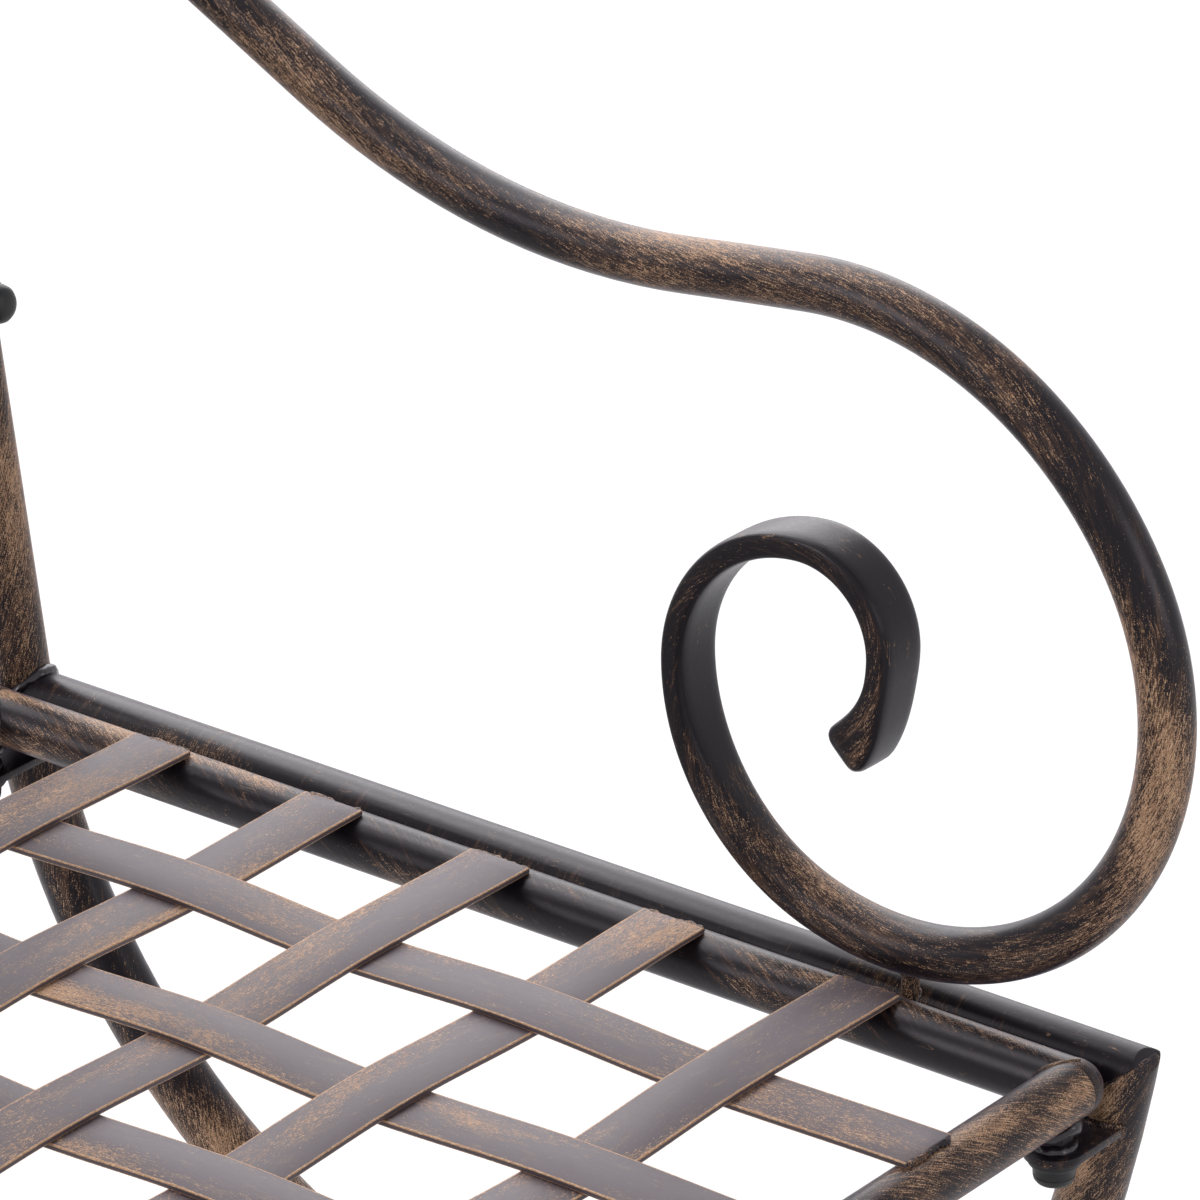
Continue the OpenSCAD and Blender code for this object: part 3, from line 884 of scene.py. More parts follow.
@dataclass(frozen=True)
class BrushedPaint:
    """Black satin paint with a brown glaze, fine bronze strokes and paler scratches over it."""

    name: str
    stroke: Stroke = Stroke.WOUND
    ground: Colour = (0.0056, 0.0042, 0.0062)
    brown: Colour = (0.0430, 0.0230, 0.0150)
    bronze: Colour = (0.198, 0.115, 0.072)
    copper: Colour = (0.370, 0.215, 0.128)
    fleck: Colour = (0.660, 0.445, 0.285)
    cover: float = 0.42
    side_cover: float = 0.10
    # Extra bronze on upward faces: partly rubbed crests, partly a painted highlight along the tops.
    top_cover: float = 0.0
    crest_power: float = 8.0
    patchiness: float = 2.0
    patch_scale: float = 34.0
    patch_squeeze: float = 0.26
    edge_at: float = 0.0
    edge_cover: float = 0.35
    pressed_from: float = 0.0
    pressed_fade: float = 0.06
    glaze: StrokeLayer = StrokeLayer((0.15, 0.15, 0.17), 7.0, 0.70, 0.64, 0.22)
    hairs: StrokeLayer = StrokeLayer((1.0, 1.0, 1.0), 4.0, 0.62, 0.755, 0.05)
    crossing: StrokeLayer = StrokeLayer((1.2, 1.2, 0.8), 4.0, 0.66, 0.84, 0.05)
    cross_turns: float = -0.6
    grit_scale: float = 2400.0
    grit_share: float = 0.42
    film_span: tuple[float, float] = (0.44, 0.67)
    fleck_stretch: tuple[float, float, float] = (1.6, 1.6, 2.4)
    fleck_span: tuple[float, float] = (0.50, 0.64)
    scratches: float = 0.6
    scratch_width: float = 0.010
    scratch_stretch: tuple[float, float, float] = (420.0, 420.0, 60.0)
    scratch_patches: float = 95.0
    peel_scale: float = 620.0
    bump_strength: float = 0.28
    bump_depth: float = 0.0003
    roughness: float = 0.35
    roughness_span: float = 0.14
    raised_roughness: float = 0.2
    gloss: float = 0.22
    gloss_tint: Colour = (1.0, 0.92, 1.0)
    bloom: float = 0.15
    bloom_roughness: float = 0.35
    bloom_tint: Colour = (0.86, 0.72, 1.0)

    def made(self, along: Vector | None = None, centre: Vector | None = None) -> bpy.types.Material:
        """Makes the material.

        Args:
            along: Direction of a straight piece with no grain laid on it.
            centre: A point on that piece's axis.

        Returns:
            The material.
        """
        work = Paintwork(self.name)
        grain = work.straight_grain(along, centre) if along else work.swept_grain()
        want = self.wanted(work, grain)
        laid = self.wound(work, grain, 1.0)
        grit = work.noise(grain, self.grit_scale, 2.0, 0.6)
        threads = work.math("MULTIPLY", self.hairs.drawn(work, laid), 1.0 - self.grit_share)
        fibres = work.plus_product(grit, self.grit_share, threads)
        across = self.crossing.drawn(work, self.wound(work, grain, self.cross_turns))
        strokes = work.math(
            "MAXIMUM",
            self.hairs.shown(work, fibres, want),
            self.crossing.shown(work, across, want),
        )
        lines = work.math("MULTIPLY", self.lines(work, grain), self.scratches)
        glaze = self.glaze.shown(work, self.glaze.drawn(work, laid), want)
        film = work.blend(work.ease(fibres, *self.film_span), self.brown, self.bronze)
        colour = work.blend(glaze, self.ground, film)
        colour = work.blend(strokes, colour, self.copper)
        pale = work.ease(work.noise(work.scaled(laid, self.fleck_stretch), 1.0), *self.fleck_span)
        colour = work.blend(work.math("MULTIPLY", pale, strokes), colour, self.fleck)
        colour = work.blend(lines, colour, self.copper)
        raised = work.math("MAXIMUM", strokes, lines)
        peel = work.noise(grain, self.peel_scale, 3.0, 0.6)
        satin = work.plus_product(
            peel, self.roughness_span, self.roughness - self.roughness_span / 2.0
        )
        height = work.plus_product(raised, 0.6, work.math("MULTIPLY", peel, 0.5))
        return work.dress(
            {
                "Base Color": colour,
                "Roughness": work.plus_product(raised, self.raised_roughness, satin),
                "Normal": work.bump(height, self.bump_strength, self.bump_depth),
                "Specular IOR Level": self.gloss,
                "Specular Tint": (*self.gloss_tint, 1.0),
                "Sheen Weight": self.bloom,
                "Sheen Roughness": self.bloom_roughness,
                "Sheen Tint": (*self.bloom_tint, 1.0),
            }
        )

    def wanted(self, work: Paintwork, grain: Socket) -> Socket:
        """Finds how much bronze each place got.

        Args:
            work: The material's nodes.
            grain: The place across, above and along the stock.

        Returns:
            The share, about 0 to 1.
        """
        squeezed = work.scaled(grain, (1.0, 1.0, self.patch_squeeze))
        clouds = work.noise(squeezed, self.patch_scale, 3.0, 0.58)
        want = work.plus_product(work.math("SUBTRACT", clouds, 0.5), self.patchiness, self.cover)
        sideways, _, upward = work.parts(work.add("ShaderNodeNewGeometry", {}, "Normal"))
        want = work.plus_product(work.math("ABSOLUTE", sideways), self.side_cover, want)
        # Upward-facing places get more copper: partly rubbing on the crests, partly a painted
        # highlight that stands in for the light band along the tops of the tubes.
        crest = work.math("POWER", work.math("MAXIMUM", upward, 0.0), self.crest_power)
        want = work.plus_product(crest, self.top_cover, want)
        if self.pressed_from > 0:
            want = self.cleared(work, grain, sideways, want)
        if self.edge_at > 0:
            want = self.rimmed(work, grain, want)
        return want

    def cleared(self, work: Paintwork, grain: Socket, sideways: Socket, want: Socket) -> Socket:
        """Keeps the wide faces of flattened stock almost bare.

        Args:
            work: The material's nodes.
            grain: The place across, above and along the stock.
            sideways: How far each place faces to the side.
            want: The share of bronze that each place would get.

        Returns:
            The share that it gets.
        """
        along = work.parts(grain)[2]
        twin = work.math("GREATER_THAN", along, TWIN_SHIFT)
        run = work.plus_product(twin, -TWIN_SHIFT, along)
        pressed = work.ease(run, self.pressed_from, self.pressed_from + self.pressed_fade)
        face = work.math("SUBTRACT", work.math("ABSOLUTE", sideways), 1.10)
        return work.plus_product(work.math("MULTIPLY", face, pressed), 1.5, want)

    def rimmed(self, work: Paintwork, grain: Socket, want: Socket) -> Socket:
        """Rubs the upper edges of a strap bright and keeps its cut edges dark.

        Args:
            work: The material's nodes.
            grain: The place across, above and along the strap.
            want: The share of bronze that each place would get.

        Returns:
            The share that it gets.
        """
        wide, high, _ = (work.math("ABSOLUTE", part) for part in work.parts(grain))
        rim = work.ease(wide, self.edge_at - 0.0005, self.edge_at)
        wall = work.ease(high, 0.0003, 0.0008, -1.3, self.edge_cover)
        return work.plus_product(rim, wall, want)

    def wound(self, work: Paintwork, grain: Socket, turns: float) -> Socket:
        """Winds the grain round the stock and stretches it along the strokes.

        Args:
            work: The material's nodes.
            grain: The place across, above and along the stock.
            turns: How strongly it winds, and which way.

        Returns:
            The place, in stroke widths and lengths.
        """
        across, lengthwise, winding = self.stroke.value
        along = work.parts(grain)[2]
        wave = work.math("SINE", work.math("MULTIPLY", along, 23.0))
        angle = work.plus_product(along, winding * turns, work.math("MULTIPLY", wave, 0.35))
        turned = work.add(
            "ShaderNodeVectorRotate", {"Vector": grain, "Angle": angle}, rotation_type="Z_AXIS"
        )
        return work.scaled(turned, (across, across, lengthwise))

    def lines(self, work: Paintwork, grain: Socket) -> Socket:
        """Draws thin scratches that wander along the stock.

        Args:
            work: The material's nodes.
            grain: The place across, above and along the stock.

        Returns:
            The share of scratch at each place.
        """
        drift = work.noise(work.scaled(grain, self.scratch_stretch), 1.0, 2.0, 0.45)
        away = work.math("ABSOLUTE", work.math("SUBTRACT", drift, 0.5))
        thin = work.ease(away, 0.0, self.scratch_width, 1.0, 0.0)
        where = work.ease(work.noise(grain, self.scratch_patches, 3.0, 0.6), 0.56, 0.64)
        return work.math("MULTIPLY", thin, where)


@dataclass(frozen=True)
class MouldedPlastic:
    """Matte black plastic with the fine grain of its mould."""

    name: str = "moulded black plastic"
    colour: Colour = (0.0115, 0.0120, 0.0140)
    dusty: Colour = (0.0240, 0.0240, 0.0255)
    roughness: float = 0.42
    roughness_span: float = 0.14
    gloss: float = 0.25

    def made(self) -> bpy.types.Material:
        """Makes the material.

        Returns:
            The material.
        """
        work = Paintwork(self.name)
        place = work.own_place()
        dust = work.ease(work.noise(place, 140.0, 4.0, 0.6), 0.42, 0.72)
        grain = work.noise(place, 2600.0, 2.0)
        lowest = self.roughness - self.roughness_span / 2.0
        return work.dress(
            {
                "Base Color": work.blend(dust, self.colour, self.dusty),
                "Roughness": work.plus_product(grain, self.roughness_span, lowest),
                "Specular IOR Level": self.gloss,
                "Normal": work.bump(grain, 0.25, 0.00012),
            }
        )


@dataclass(frozen=True)
class ZincPlate:
    """Dull zinc plating on the bolts."""

    name: str = "zinc plated bolts"
    colour: Colour = (0.46, 0.45, 0.43)
    dull: Colour = (0.24, 0.235, 0.23)
    polish: tuple[float, float] = (0.28, 0.55)

    def made(self) -> bpy.types.Material:
        """Makes the material.

        Returns:
            The material.
        """
        work = Paintwork(self.name)
        cloud = work.noise(work.own_place(), 420.0, 4.0, 0.65)
        return work.dress(
            {
                "Base Color": work.blend(work.ease(cloud, 0.35, 0.7), self.colour, self.dull),
                "Metallic": 1.0,
                "Roughness": work.ease(cloud, 0.3, 0.7, *self.polish),
                "Normal": work.bump(cloud, 0.2, 0.0001),
            }
        )


def brushed(name: str, stroke: Stroke, **kept: float | Colour) -> bpy.types.Material:
    """Makes a brushed finish that follows the grain laid on a piece.

    Args:
        name: The finish's name.
        stroke: How it was brushed.
        **kept: Other fields of the finish.

    Returns:
        The material.
    """
    return BrushedPaint(name, stroke, **kept).made()


def brushed_straight(
    name: str, stroke: Stroke, along: Vector, centre: Vector, **kept: float
) -> bpy.types.Material:
    """Makes a brushed finish for a straight solid of the frame, which has no grain laid on it.

    Args:
        name: The finish's name.
        stroke: How it was brushed.
        along: Direction of the solid.
        centre: A point on its axis.
        **kept: Other fields of the finish.

    Returns:
        The material.
    """
    return BrushedPaint(name, stroke, **kept).made(along, centre)


class Finishes:
    """All finishes that several pieces share, each made once."""

    def __init__(self) -> None:
        """Makes the finishes."""
        self.arm = brushed(
            "bronze brushed arm",
            Stroke.LOOSE,
            cover=0.52,
            side_cover=0.20,
            patchiness=1.9,
            pressed_from=ARM_GRAIN_SHIFT + ARM_PRESSED_RUN,
        )
        self.leg = brushed(
            "bronze brushed leg", Stroke.WOUND, cover=0.56, side_cover=0.14, patchiness=1.7
        )
        # The front legs get more copper than the rear tubes: partly their real strokes, partly a
        # painted highlight for the stronger light falling on them.
        self.front_leg = brushed(
            "bronze brushed front leg", Stroke.WOUND, cover=0.72, side_cover=0.10, patchiness=2.1
        )
        self.rail = brushed(
            "bronze brushed side rail", Stroke.RINGED, cover=0.20, side_cover=0.40, patchiness=2.8
        )
        self.strap = brushed(
            "bronze brushed strap",
            Stroke.FLAT,
            ground=(0.0740, 0.0570, 0.0640),
            brown=(0.1000, 0.0700, 0.0640),
            bronze=(0.2100, 0.1450, 0.1080),
            cover=0.57,
            side_cover=0.0,
            patchiness=2.4,
            edge_at=0.0116,
            edge_cover=1.10,
            roughness=0.47,
            gloss=0.27,
        )
        # The seat rails' copper on their crests is partly rubbing and partly a painted highlight
        # for the light band along their tops; the front rail's heavy cover is partly painted
        # highlight too.
        self.panel_rail = brushed(
            "bronze brushed panel rail", Stroke.LONG, cover=0.36, top_cover=0.42, patchiness=3.0
        )
        self.front_rail = brushed(
            "bronze brushed front rail", Stroke.LONG, cover=0.62, top_cover=0.16, patchiness=2.4
        )
        self.weld = brushed(
            "bronze brushed weld", Stroke.SPOTS, cover=0.62, roughness=0.30, gloss=0.5
        )
        self.lump = brushed(
            "glossy black weld", Stroke.SPOTS, cover=0.20, roughness=0.30, gloss=0.5
        )
        self.ground_weld = brushed(
            "ground corner weld", Stroke.SPOTS, cover=0.38, side_cover=0.0
        )
        self.tab = brushed(
            "bronze brushed tab", Stroke.SPOTS, cover=0.34, side_cover=0.25, roughness=0.40
        )
        self.burr = brushed("rubbed strap weld", Stroke.SPOTS, cover=0.62, roughness=0.42)
        self.rubbed = brushed("rubbed peg", Stroke.SPOTS, cover=0.74, roughness=0.40)
        self.fittings = brushed_straight(
            "bronze brushed small fittings",
            Stroke.SPOTS,
            Z_AXIS,
            Vector(),
            cover=0.35,
            side_cover=0.0,
            roughness=0.30,
        )
        self.plastic = MouldedPlastic().made()
        self.zinc = ZincPlate().made()


# Handing pieces in


class Slot(Enum):
    """Names of material slots."""

    TUBE = "frame_tube"
    STRAP = "strap"
    PLASTIC = "black_plastic"
    FASTENER = "fastener"


def hand_in(piece: Piece, finish: bpy.types.Material, slot: Slot, *nodes: str) -> None:
    """Paints a piece, fixes it to the chair and hides the solids it stands for.

    Args:
        piece: The finished piece.
        finish: Its material.
        slot: Not used.
        *nodes: Solids of the frame that it replaces.
    """
    piece.data.materials.clear()
    piece.data.materials.append(finish)
    for face in piece.data.polygons:
        face.material_index = 0
    if nodes:
        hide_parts(*nodes)
    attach(piece, BODY)
    LOG.info("%s: %d faces", piece.name, len(piece.data.polygons))


def repaint(finish: bpy.types.Material, *nodes: str) -> None:
    """Gives solids of the frame a better material.

    Args:
        finish: The material.
        *nodes: Names of the solids.
    """
    for node in nodes:
        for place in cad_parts[node].material_slots:
            place.material = finish
    LOG.info("repainted %s", ", ".join(nodes))


def both_sides(
    piece: Piece, finish: bpy.types.Material, slot: Slot, stem: str, *nodes: str
) -> None:
    """Hands in a right-hand piece and its mirrored left-hand twin.

    Args:
        piece: The right-hand piece.
        finish: Their material.
        slot: Passed on to hand_in for each piece.
        stem: The pieces' name without its side.
        *nodes: Stems or whole names of the solids that they replace.
    """
    for side, place in (("right", Matrix.Identity(4)), ("left", MIRROR)):
        twin = copied(piece, f"{stem}_{side}", place)
        if place is MIRROR:
            shift_grain(twin, TWIN_SHIFT)
        known = [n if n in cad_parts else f"{n}_{side}" for n in nodes]
        hand_in(twin, finish, slot, *known)
    bpy.data.objects.remove(piece)


# The side frames


@dataclass
class SideFrame:
    """Side rail, front leg, back post and lower leg of one side, with their welds."""

    finishes: Finishes
    corner_y: float = -0.0035
    leg_slope: float = 10.5
    leg_bends: tuple[Bend, ...] = (Bend(0.600, 6.0), Bend(0.200, 53.5), Bend(0.655, -39.0))
    rear_start: Station = Station(0.524306, 0.469152, -99.0)
    rear_bends: tuple[Bend, ...] = (Bend(0.0, 0.475), Bend(0.228, -53.0), Bend(0.990, 27.5))
    crossing: tuple[float, float] = (0.221265, -0.234119)
    leg_middle: tuple[float, float] = (-0.08950, -0.81070)
    rear_middle: tuple[float, float] = (0.79662, -1.03976)
    rail_short: float = 0.004
    rail_mark: float = 0.3
    lead: float = 2.0
    leg_grain_shift: float = 1.57
    rear_grain_shift: float = 2.9
    saw_rounding: float = 0.0005
    weld_radius: float = 0.0024
    weld_seed: int = 11
    mitre_weld_radius: float = 0.0007
    mitre_weld_sink: float = 0.00035
    mitre_weld_inset: float = 0.0004
    mitre_weld_points: int = 56
    mitre_seed: int = 17
    tip_ground: float = 0.0017

    @property
    def corner(self) -> Vector:
        """Where the side rail's axis meets the front leg's."""
        return Vector((0.0, self.corner_y, -CHAIR.rail_drop))

    @property
    def foot_cut(self) -> Vector:
        """Where the tubes are sawn off over the soles of their foot caps."""
        return Vector((0.0, 0.0, CHAIR.foot_sole - CHAIR.seat_height))

    def leg_path(self) -> TubePath:
        """Draws the front leg's axis.

        Returns:
            The axis, from a little past the leg's mitre.
        """
        top = Station(self.corner_y, -CHAIR.rail_drop, self.leg_slope - 90.0)
        first = self.leg_bends[0]
        early = Bend(first.radius, self.lead).end(top, -1.0)
        return TubePath(early, (Bend(first.radius, first.sweep + self.lead), *self.leg_bends[1:]))

    def rear_path(self) -> TubePath:
        """Draws the axis of the post and rear tube, down to the front foot."""
        return TubePath(self.rear_start, self.rear_bends)

    def crossing_point(self) -> Vector:
        """Finds where the two tubes cross below the seat."""
        return Vector((0.0, *self.crossing))

    def heading_at_crossing(self, middle: tuple[float, float]) -> Vector:
        """Finds the direction at the crossing of a sweep about some middle.

        Args:
            middle: Centre of the sweep in y and z.

        Returns:
            The direction along the sweep.
        """
        away = (place - centre for place, centre in zip(self.crossing, middle))
        spoke = Vector((0.0, *away)).normalized()
        return Vector((0.0, spoke.z, -spoke.y))

    def build(self) -> None:
        """Builds both side frames."""
        self.build_rail()
        self.build_leg()
        self.build_rear_tubes()
        self.build_welds()

    def build_rail(self) -> None:
        """Cuts the straight side rail and its mitre."""
        start = self.corner_y - 2.0 * CHAIR.frame_radius
        length = CHAIR.post_y - self.rail_short - start
        path = TubePath(Station(start, -CHAIR.rail_drop, 0.0), (Bend(0.0, length),))
        rail = bent_tube("side_rail", path, CHAIR.frame_radius)
        trim(rail, self.corner, -self.away_from_leg())
        self.grind_tip(rail)
        soften(rail, self.saw_rounding)
        grain_of_path(rail, path)
        settle(rail, CHAIR.side)
        both_sides(rail, self.finishes.rail, Slot.TUBE, "brushed_side_rail", "side_rail")

    def away_from_leg(self) -> Vector:
        """Finds the mitre's normal that points away from the leg."""
        turn = math.radians((self.leg_slope - 90.0) / 2.0)
        return Vector((0.0, -math.sin(turn), math.cos(turn)))

    @property
    def tip_reach(self) -> float:
        """Distance from the mitre's middle to its ground outer tip."""
        return CHAIR.frame_radius / abs(self.tip_way.y) - self.tip_ground

    @property
    def tip_way(self) -> Vector:
        """Direction from the mitre's middle to its outer tip."""
        return X_AXIS.cross(self.away_from_leg())

    def grind_tip(self, tube: Piece) -> None:
        """Grinds the sharp outer tip off a mitred tube."""
        trim(tube, self.corner + self.tip_way * self.tip_reach, self.tip_way)

    def build_leg(self) -> None:
        """Bends the front leg and saws its mitre and its foot."""
        path = self.leg_path()
        leg = bent_tube("front_leg", path, CHAIR.frame_radius)
        trim(leg, self.corner, self.away_from_leg())
        self.grind_tip(leg)
        trim(leg, self.foot_cut, -Z_AXIS)
        soften(leg, self.saw_rounding)
        grain_of_path(leg, path, self.leg_grain_shift)
        settle(leg, CHAIR.side)
        both_sides(leg, self.finishes.front_leg, Slot.TUBE, "brushed_front_leg", "front_leg")

    def build_rear_tubes(self) -> None:
        """Bends the post with its rear tube, and the lower leg beyond the crossing."""
        path = self.rear_path()
        across = self.heading_at_crossing(self.leg_middle)
        outward = Vector((0.0, -across.z, across.y))
        if outward.dot(self.heading_at_crossing(self.rear_middle)) < 0:
            outward = -outward
        toward_foot = outward if outward.z < 0 else -outward
        for stem, side in (("back_post", toward_foot), ("lower_leg", -toward_foot)):
            tube = bent_tube(stem, path, CHAIR.frame_radius)
            trim(tube, self.crossing_point(), side)
            trim(tube, self.foot_cut, -Z_AXIS)
            soften(tube, self.saw_rounding)
            grain_of_path(tube, path, self.rear_grain_shift)
            settle(tube, CHAIR.side)
            both_sides(tube, self.finishes.leg, Slot.TUBE, f"brushed_{stem}", stem)

    def build_welds(self) -> None:
        """Lays the beads where the tubes of a side frame meet."""
        radius = CHAIR.frame_radius
        rail = (Vector((0.0, self.rail_mark, -CHAIR.rail_drop)), Y_AXIS, radius)
        middle = self.crossing_point()
        leg = (middle, self.heading_at_crossing(self.leg_middle), radius)
        run = self.heading_at_crossing(self.rear_middle)
        aside = run * RUN_UP
        rings = {
            "weld_rail_to_post": saddle(CHAIR.post, rail),
            "weld_rear_tube_to_leg": saddle(leg, (middle - aside, run, radius)),
            "weld_lower_leg_to_leg": saddle(leg, (middle + aside, -run, radius)),
        }
        for number, (name, ring) in enumerate(rings.items()):
            weld = bead(name, ring, self.weld_radius, self.weld_seed + number)
            grain_of_run(weld, Y_AXIS)
            settle(weld, CHAIR.side)
            both_sides(weld, self.finishes.lump, Slot.TUBE, name)
        self.build_mitre_weld()

    def build_mitre_weld(self) -> None:
        """Lays the flat, ground bead over the mitre of rail and leg."""
        radius = CHAIR.frame_radius - self.mitre_weld_sink
        farthest = self.tip_reach - self.mitre_weld_inset
        ring = []
        for angle in turn_angles(self.mitre_weld_points):
            out = min(radius * math.sin(angle) / abs(self.tip_way.y), farthest)
            side = Vector((radius * math.cos(angle), 0.0, 0.0))
            ring.append(self.corner + side + self.tip_way * out)
        weld = bead("mitre_weld", ring, self.mitre_weld_radius, self.mitre_seed)
        grain_of_run(weld, Y_AXIS)
        settle(weld, CHAIR.side)
        both_sides(weld, self.finishes.ground_weld, Slot.TUBE, "weld_rail_to_front_leg")


# The arms


@dataclass
class ScrollArm:
    """An arm bent from one tube, whose end is flattened into a curl, with the peg that holds it."""

    finishes: Finishes
    radius: float = 0.009
    start: Station = Station(0.50591, 0.353, 207.0)
    tube_bends: tuple[Bend, ...] = (
        Bend(0.0, 0.217),
        Bend(0.254, -35.0),
        Bend(3.0, 0.9),
        Bend(0.126, 68.6),
        Bend(0.101, 135.0),
    )
    curl_bends: tuple[Bend, ...] = (
        Bend(0.076, 72.5),
        Bend(0.052, 87.5),
        Bend(0.030, 95.0),
        Bend(0.053, 45.8),
    )
    toe_angle: float = 1.12
    sides: int = 48
    ring_step: float = 2.0
    flatten_run: float = 0.090
    half_thickness: float = 0.0046
    half_width: float = 0.0100
    squareness: float = 0.60
    tip_round: float = 0.0090
    tip_least: float = 0.02
    flare_run: float = 0.036
    flare: float = 1.05
    peg_radius: float = 0.0029
    peg_y: float = 0.07104
    peg_sink: float = 0.004
    peg_end: float = 0.006
    peg_shares: tuple[float, ...] = (1.05, 1.02, 0.92, 1.04)
    peg_weld_radius: float = 0.0009
    peg_weld_points: int = 24
    peg_seed: int = 31
    post_weld_radius: float = 0.0017
    post_seed: int = 37

    @property
    def place(self) -> Matrix:
        """Stands the arm's plane at its post, turned a little inward."""
        post = Vector((CHAIR.side_plane, self.start.y, 0.0))
        turn = Matrix.Rotation(math.radians(-self.toe_angle), 4, "Z")
        back = Matrix.Translation((0.0, -self.start.y, 0.0))
        return CHAIR.place @ Matrix.Translation(post) @ turn @ back

    def build(self) -> None:
        """Builds both arms, their pegs and their welds."""
        path = TubePath(self.start, self.tube_bends + self.curl_bends)
        arm = bent_tube("arm", path, self.radius, self.sides, self.ring_step)
        grain_of_path(arm, path, ARM_GRAIN_SHIFT)
        self.flatten(arm, path)
        soften(arm, 0.0, angle=60.0)
        settle(arm, self.place)
        both_sides(arm, self.finishes.arm, Slot.TUBE, "brushed_scroll_arm", "arm")
        self.build_peg()
        self.build_post_weld()

    def flatten(self, arm: Piece, path: TubePath) -> None:
        """Presses the end of the round arm flat, with a rounded tip.

        Args:
            arm: The arm as a round bar with its grain laid.
            path: Its axis.
        """
        total = path.length
        curl_from = TubePath(self.start, self.tube_bends).length
        places = arm.data.attributes[GRAIN].data
        stations = path.stations()
        for corner, spot in zip(arm.data.vertices, places):
            wide, offset, run = spot.vector
            run -= ARM_GRAIN_SHIFT
            if run <= curl_from:
                continue
            share = min(1.0, (run - curl_from) / self.flatten_run)
            flat = share * share * (3.0 - 2.0 * share)
            thick = self.radius + flat * (self.half_thickness - self.radius)
            broad = self.radius + flat * (self.half_width - self.radius)
            near_tip = max(0.0, 1.0 - (total - run) / self.flare_run)
            thick *= 1.0 + self.flare * near_tip * near_tip * (3.0 - 2.0 * near_tip)
            left = min(1.0, max(0.0, (total - run) / self.tip_round))
            tip = math.sqrt(max(self.tip_least, 1.0 - (1.0 - left) ** 2))
            angle = math.atan2(wide, offset)
            power = 1.0 - self.squareness * flat
            bulge = math.hypot(wide, offset) / self.radius
            new_offset = self.eased(math.cos(angle), power) * thick * tip * bulge
            new_wide = self.eased(math.sin(angle), power) * broad * tip * bulge
            normal = self.left_of(path, stations, run)
            corner.co += normal * (new_offset - offset)
            corner.co.x = new_wide
            spot.vector = (new_wide, new_offset, run + ARM_GRAIN_SHIFT)

    @staticmethod
    def eased(value: float, power: float) -> float:
        """Raises a number to a power and keeps its sign."""
        return math.copysign(abs(value) ** power, value)

    @staticmethod
    def left_of(path: TubePath, stations: Sequence[Station], run: float) -> Vector:
        """Finds the direction to the left of travel.

        Args:
            path: The axis.
            stations: The stations of its stretches.
            run: Distance along the axis.

        Returns:
            The direction, in the plane of y and z.
        """
        for bend, start in zip(path.bends, stations):
            if run <= bend.length or bend is path.bends[-1]:
                break
            run -= bend.length
        heading = start.heading + bend.sweep * run / bend.length * (bend.radius > 0)
        turn = math.radians(heading + 90.0)
        return Vector((0.0, math.cos(turn), math.sin(turn)))

    def build_peg(self) -> None:
        """Turns the short peg under the scroll and lays its two welds."""
        bend = self.tube_bends[-1]
        lowest = TubePath(self.start, self.tube_bends).stations()[-2]
        middle = bend.centre(lowest)
        under = middle.z - bend.radius
        ahead = middle.y - self.peg_y
        foot = CHAIR.frame_radius - CHAIR.rail_drop - self.peg_sink
        heights = (foot, foot + self.peg_end, under / 2.0, under - self.peg_end)
        peg = turned("peg", [(self.peg_radius * s, h) for s, h in zip(self.peg_shares, heights)])
        settle(peg, Matrix.Translation((0.0, self.peg_y, 0.0)))
        grain_of_run(peg, Z_AXIS)
        settle(peg, self.place)
        both_sides(peg, self.finishes.rubbed, Slot.TUBE, "brushed_arm_peg", "arm_peg")
        slope = math.asin(ahead / bend.radius)
        run = Vector((0.0, math.cos(slope), -math.sin(slope)))
        touch = Vector((0.0, self.peg_y, middle.z - bend.radius * math.cos(slope)))
        inset = (self.start.y - self.peg_y) * math.sin(math.radians(self.toe_angle))
        rail = (Vector((inset, 0.0, -CHAIR.rail_drop)), Y_AXIS, CHAIR.frame_radius)
        halfway = Vector((0.0, self.peg_y, under / 2.0))
        upward = (halfway, Z_AXIS, self.peg_radius)
        downward = (halfway, -Z_AXIS, self.peg_radius)
        rings = {
            "weld_peg_to_scroll": saddle((touch, run, self.radius), upward, self.peg_weld_points),
            "weld_peg_to_rail": saddle(rail, downward, self.peg_weld_points),
        }
        for number, (name, ring) in enumerate(rings.items()):
            weld = bead(name, ring, self.peg_weld_radius, self.peg_seed + number)
            grain_of_run(weld, Z_AXIS)
            settle(weld, self.place)
            both_sides(weld, self.finishes.weld, Slot.TUBE, name)

    def build_post_weld(self) -> None:
        """Lays the bead where the arm meets its post."""
        run = (self.start.point + self.start.along * RUN_UP, -self.start.along, self.radius)
        weld = bead(
            "weld_arm_to_post", saddle(CHAIR.post, run), self.post_weld_radius, self.post_seed
        )
        grain_of_run(weld, Y_AXIS)
        settle(weld, CHAIR.side)
        both_sides(weld, self.finishes.weld, Slot.TUBE, "weld_arm_to_post")


# Woven straps


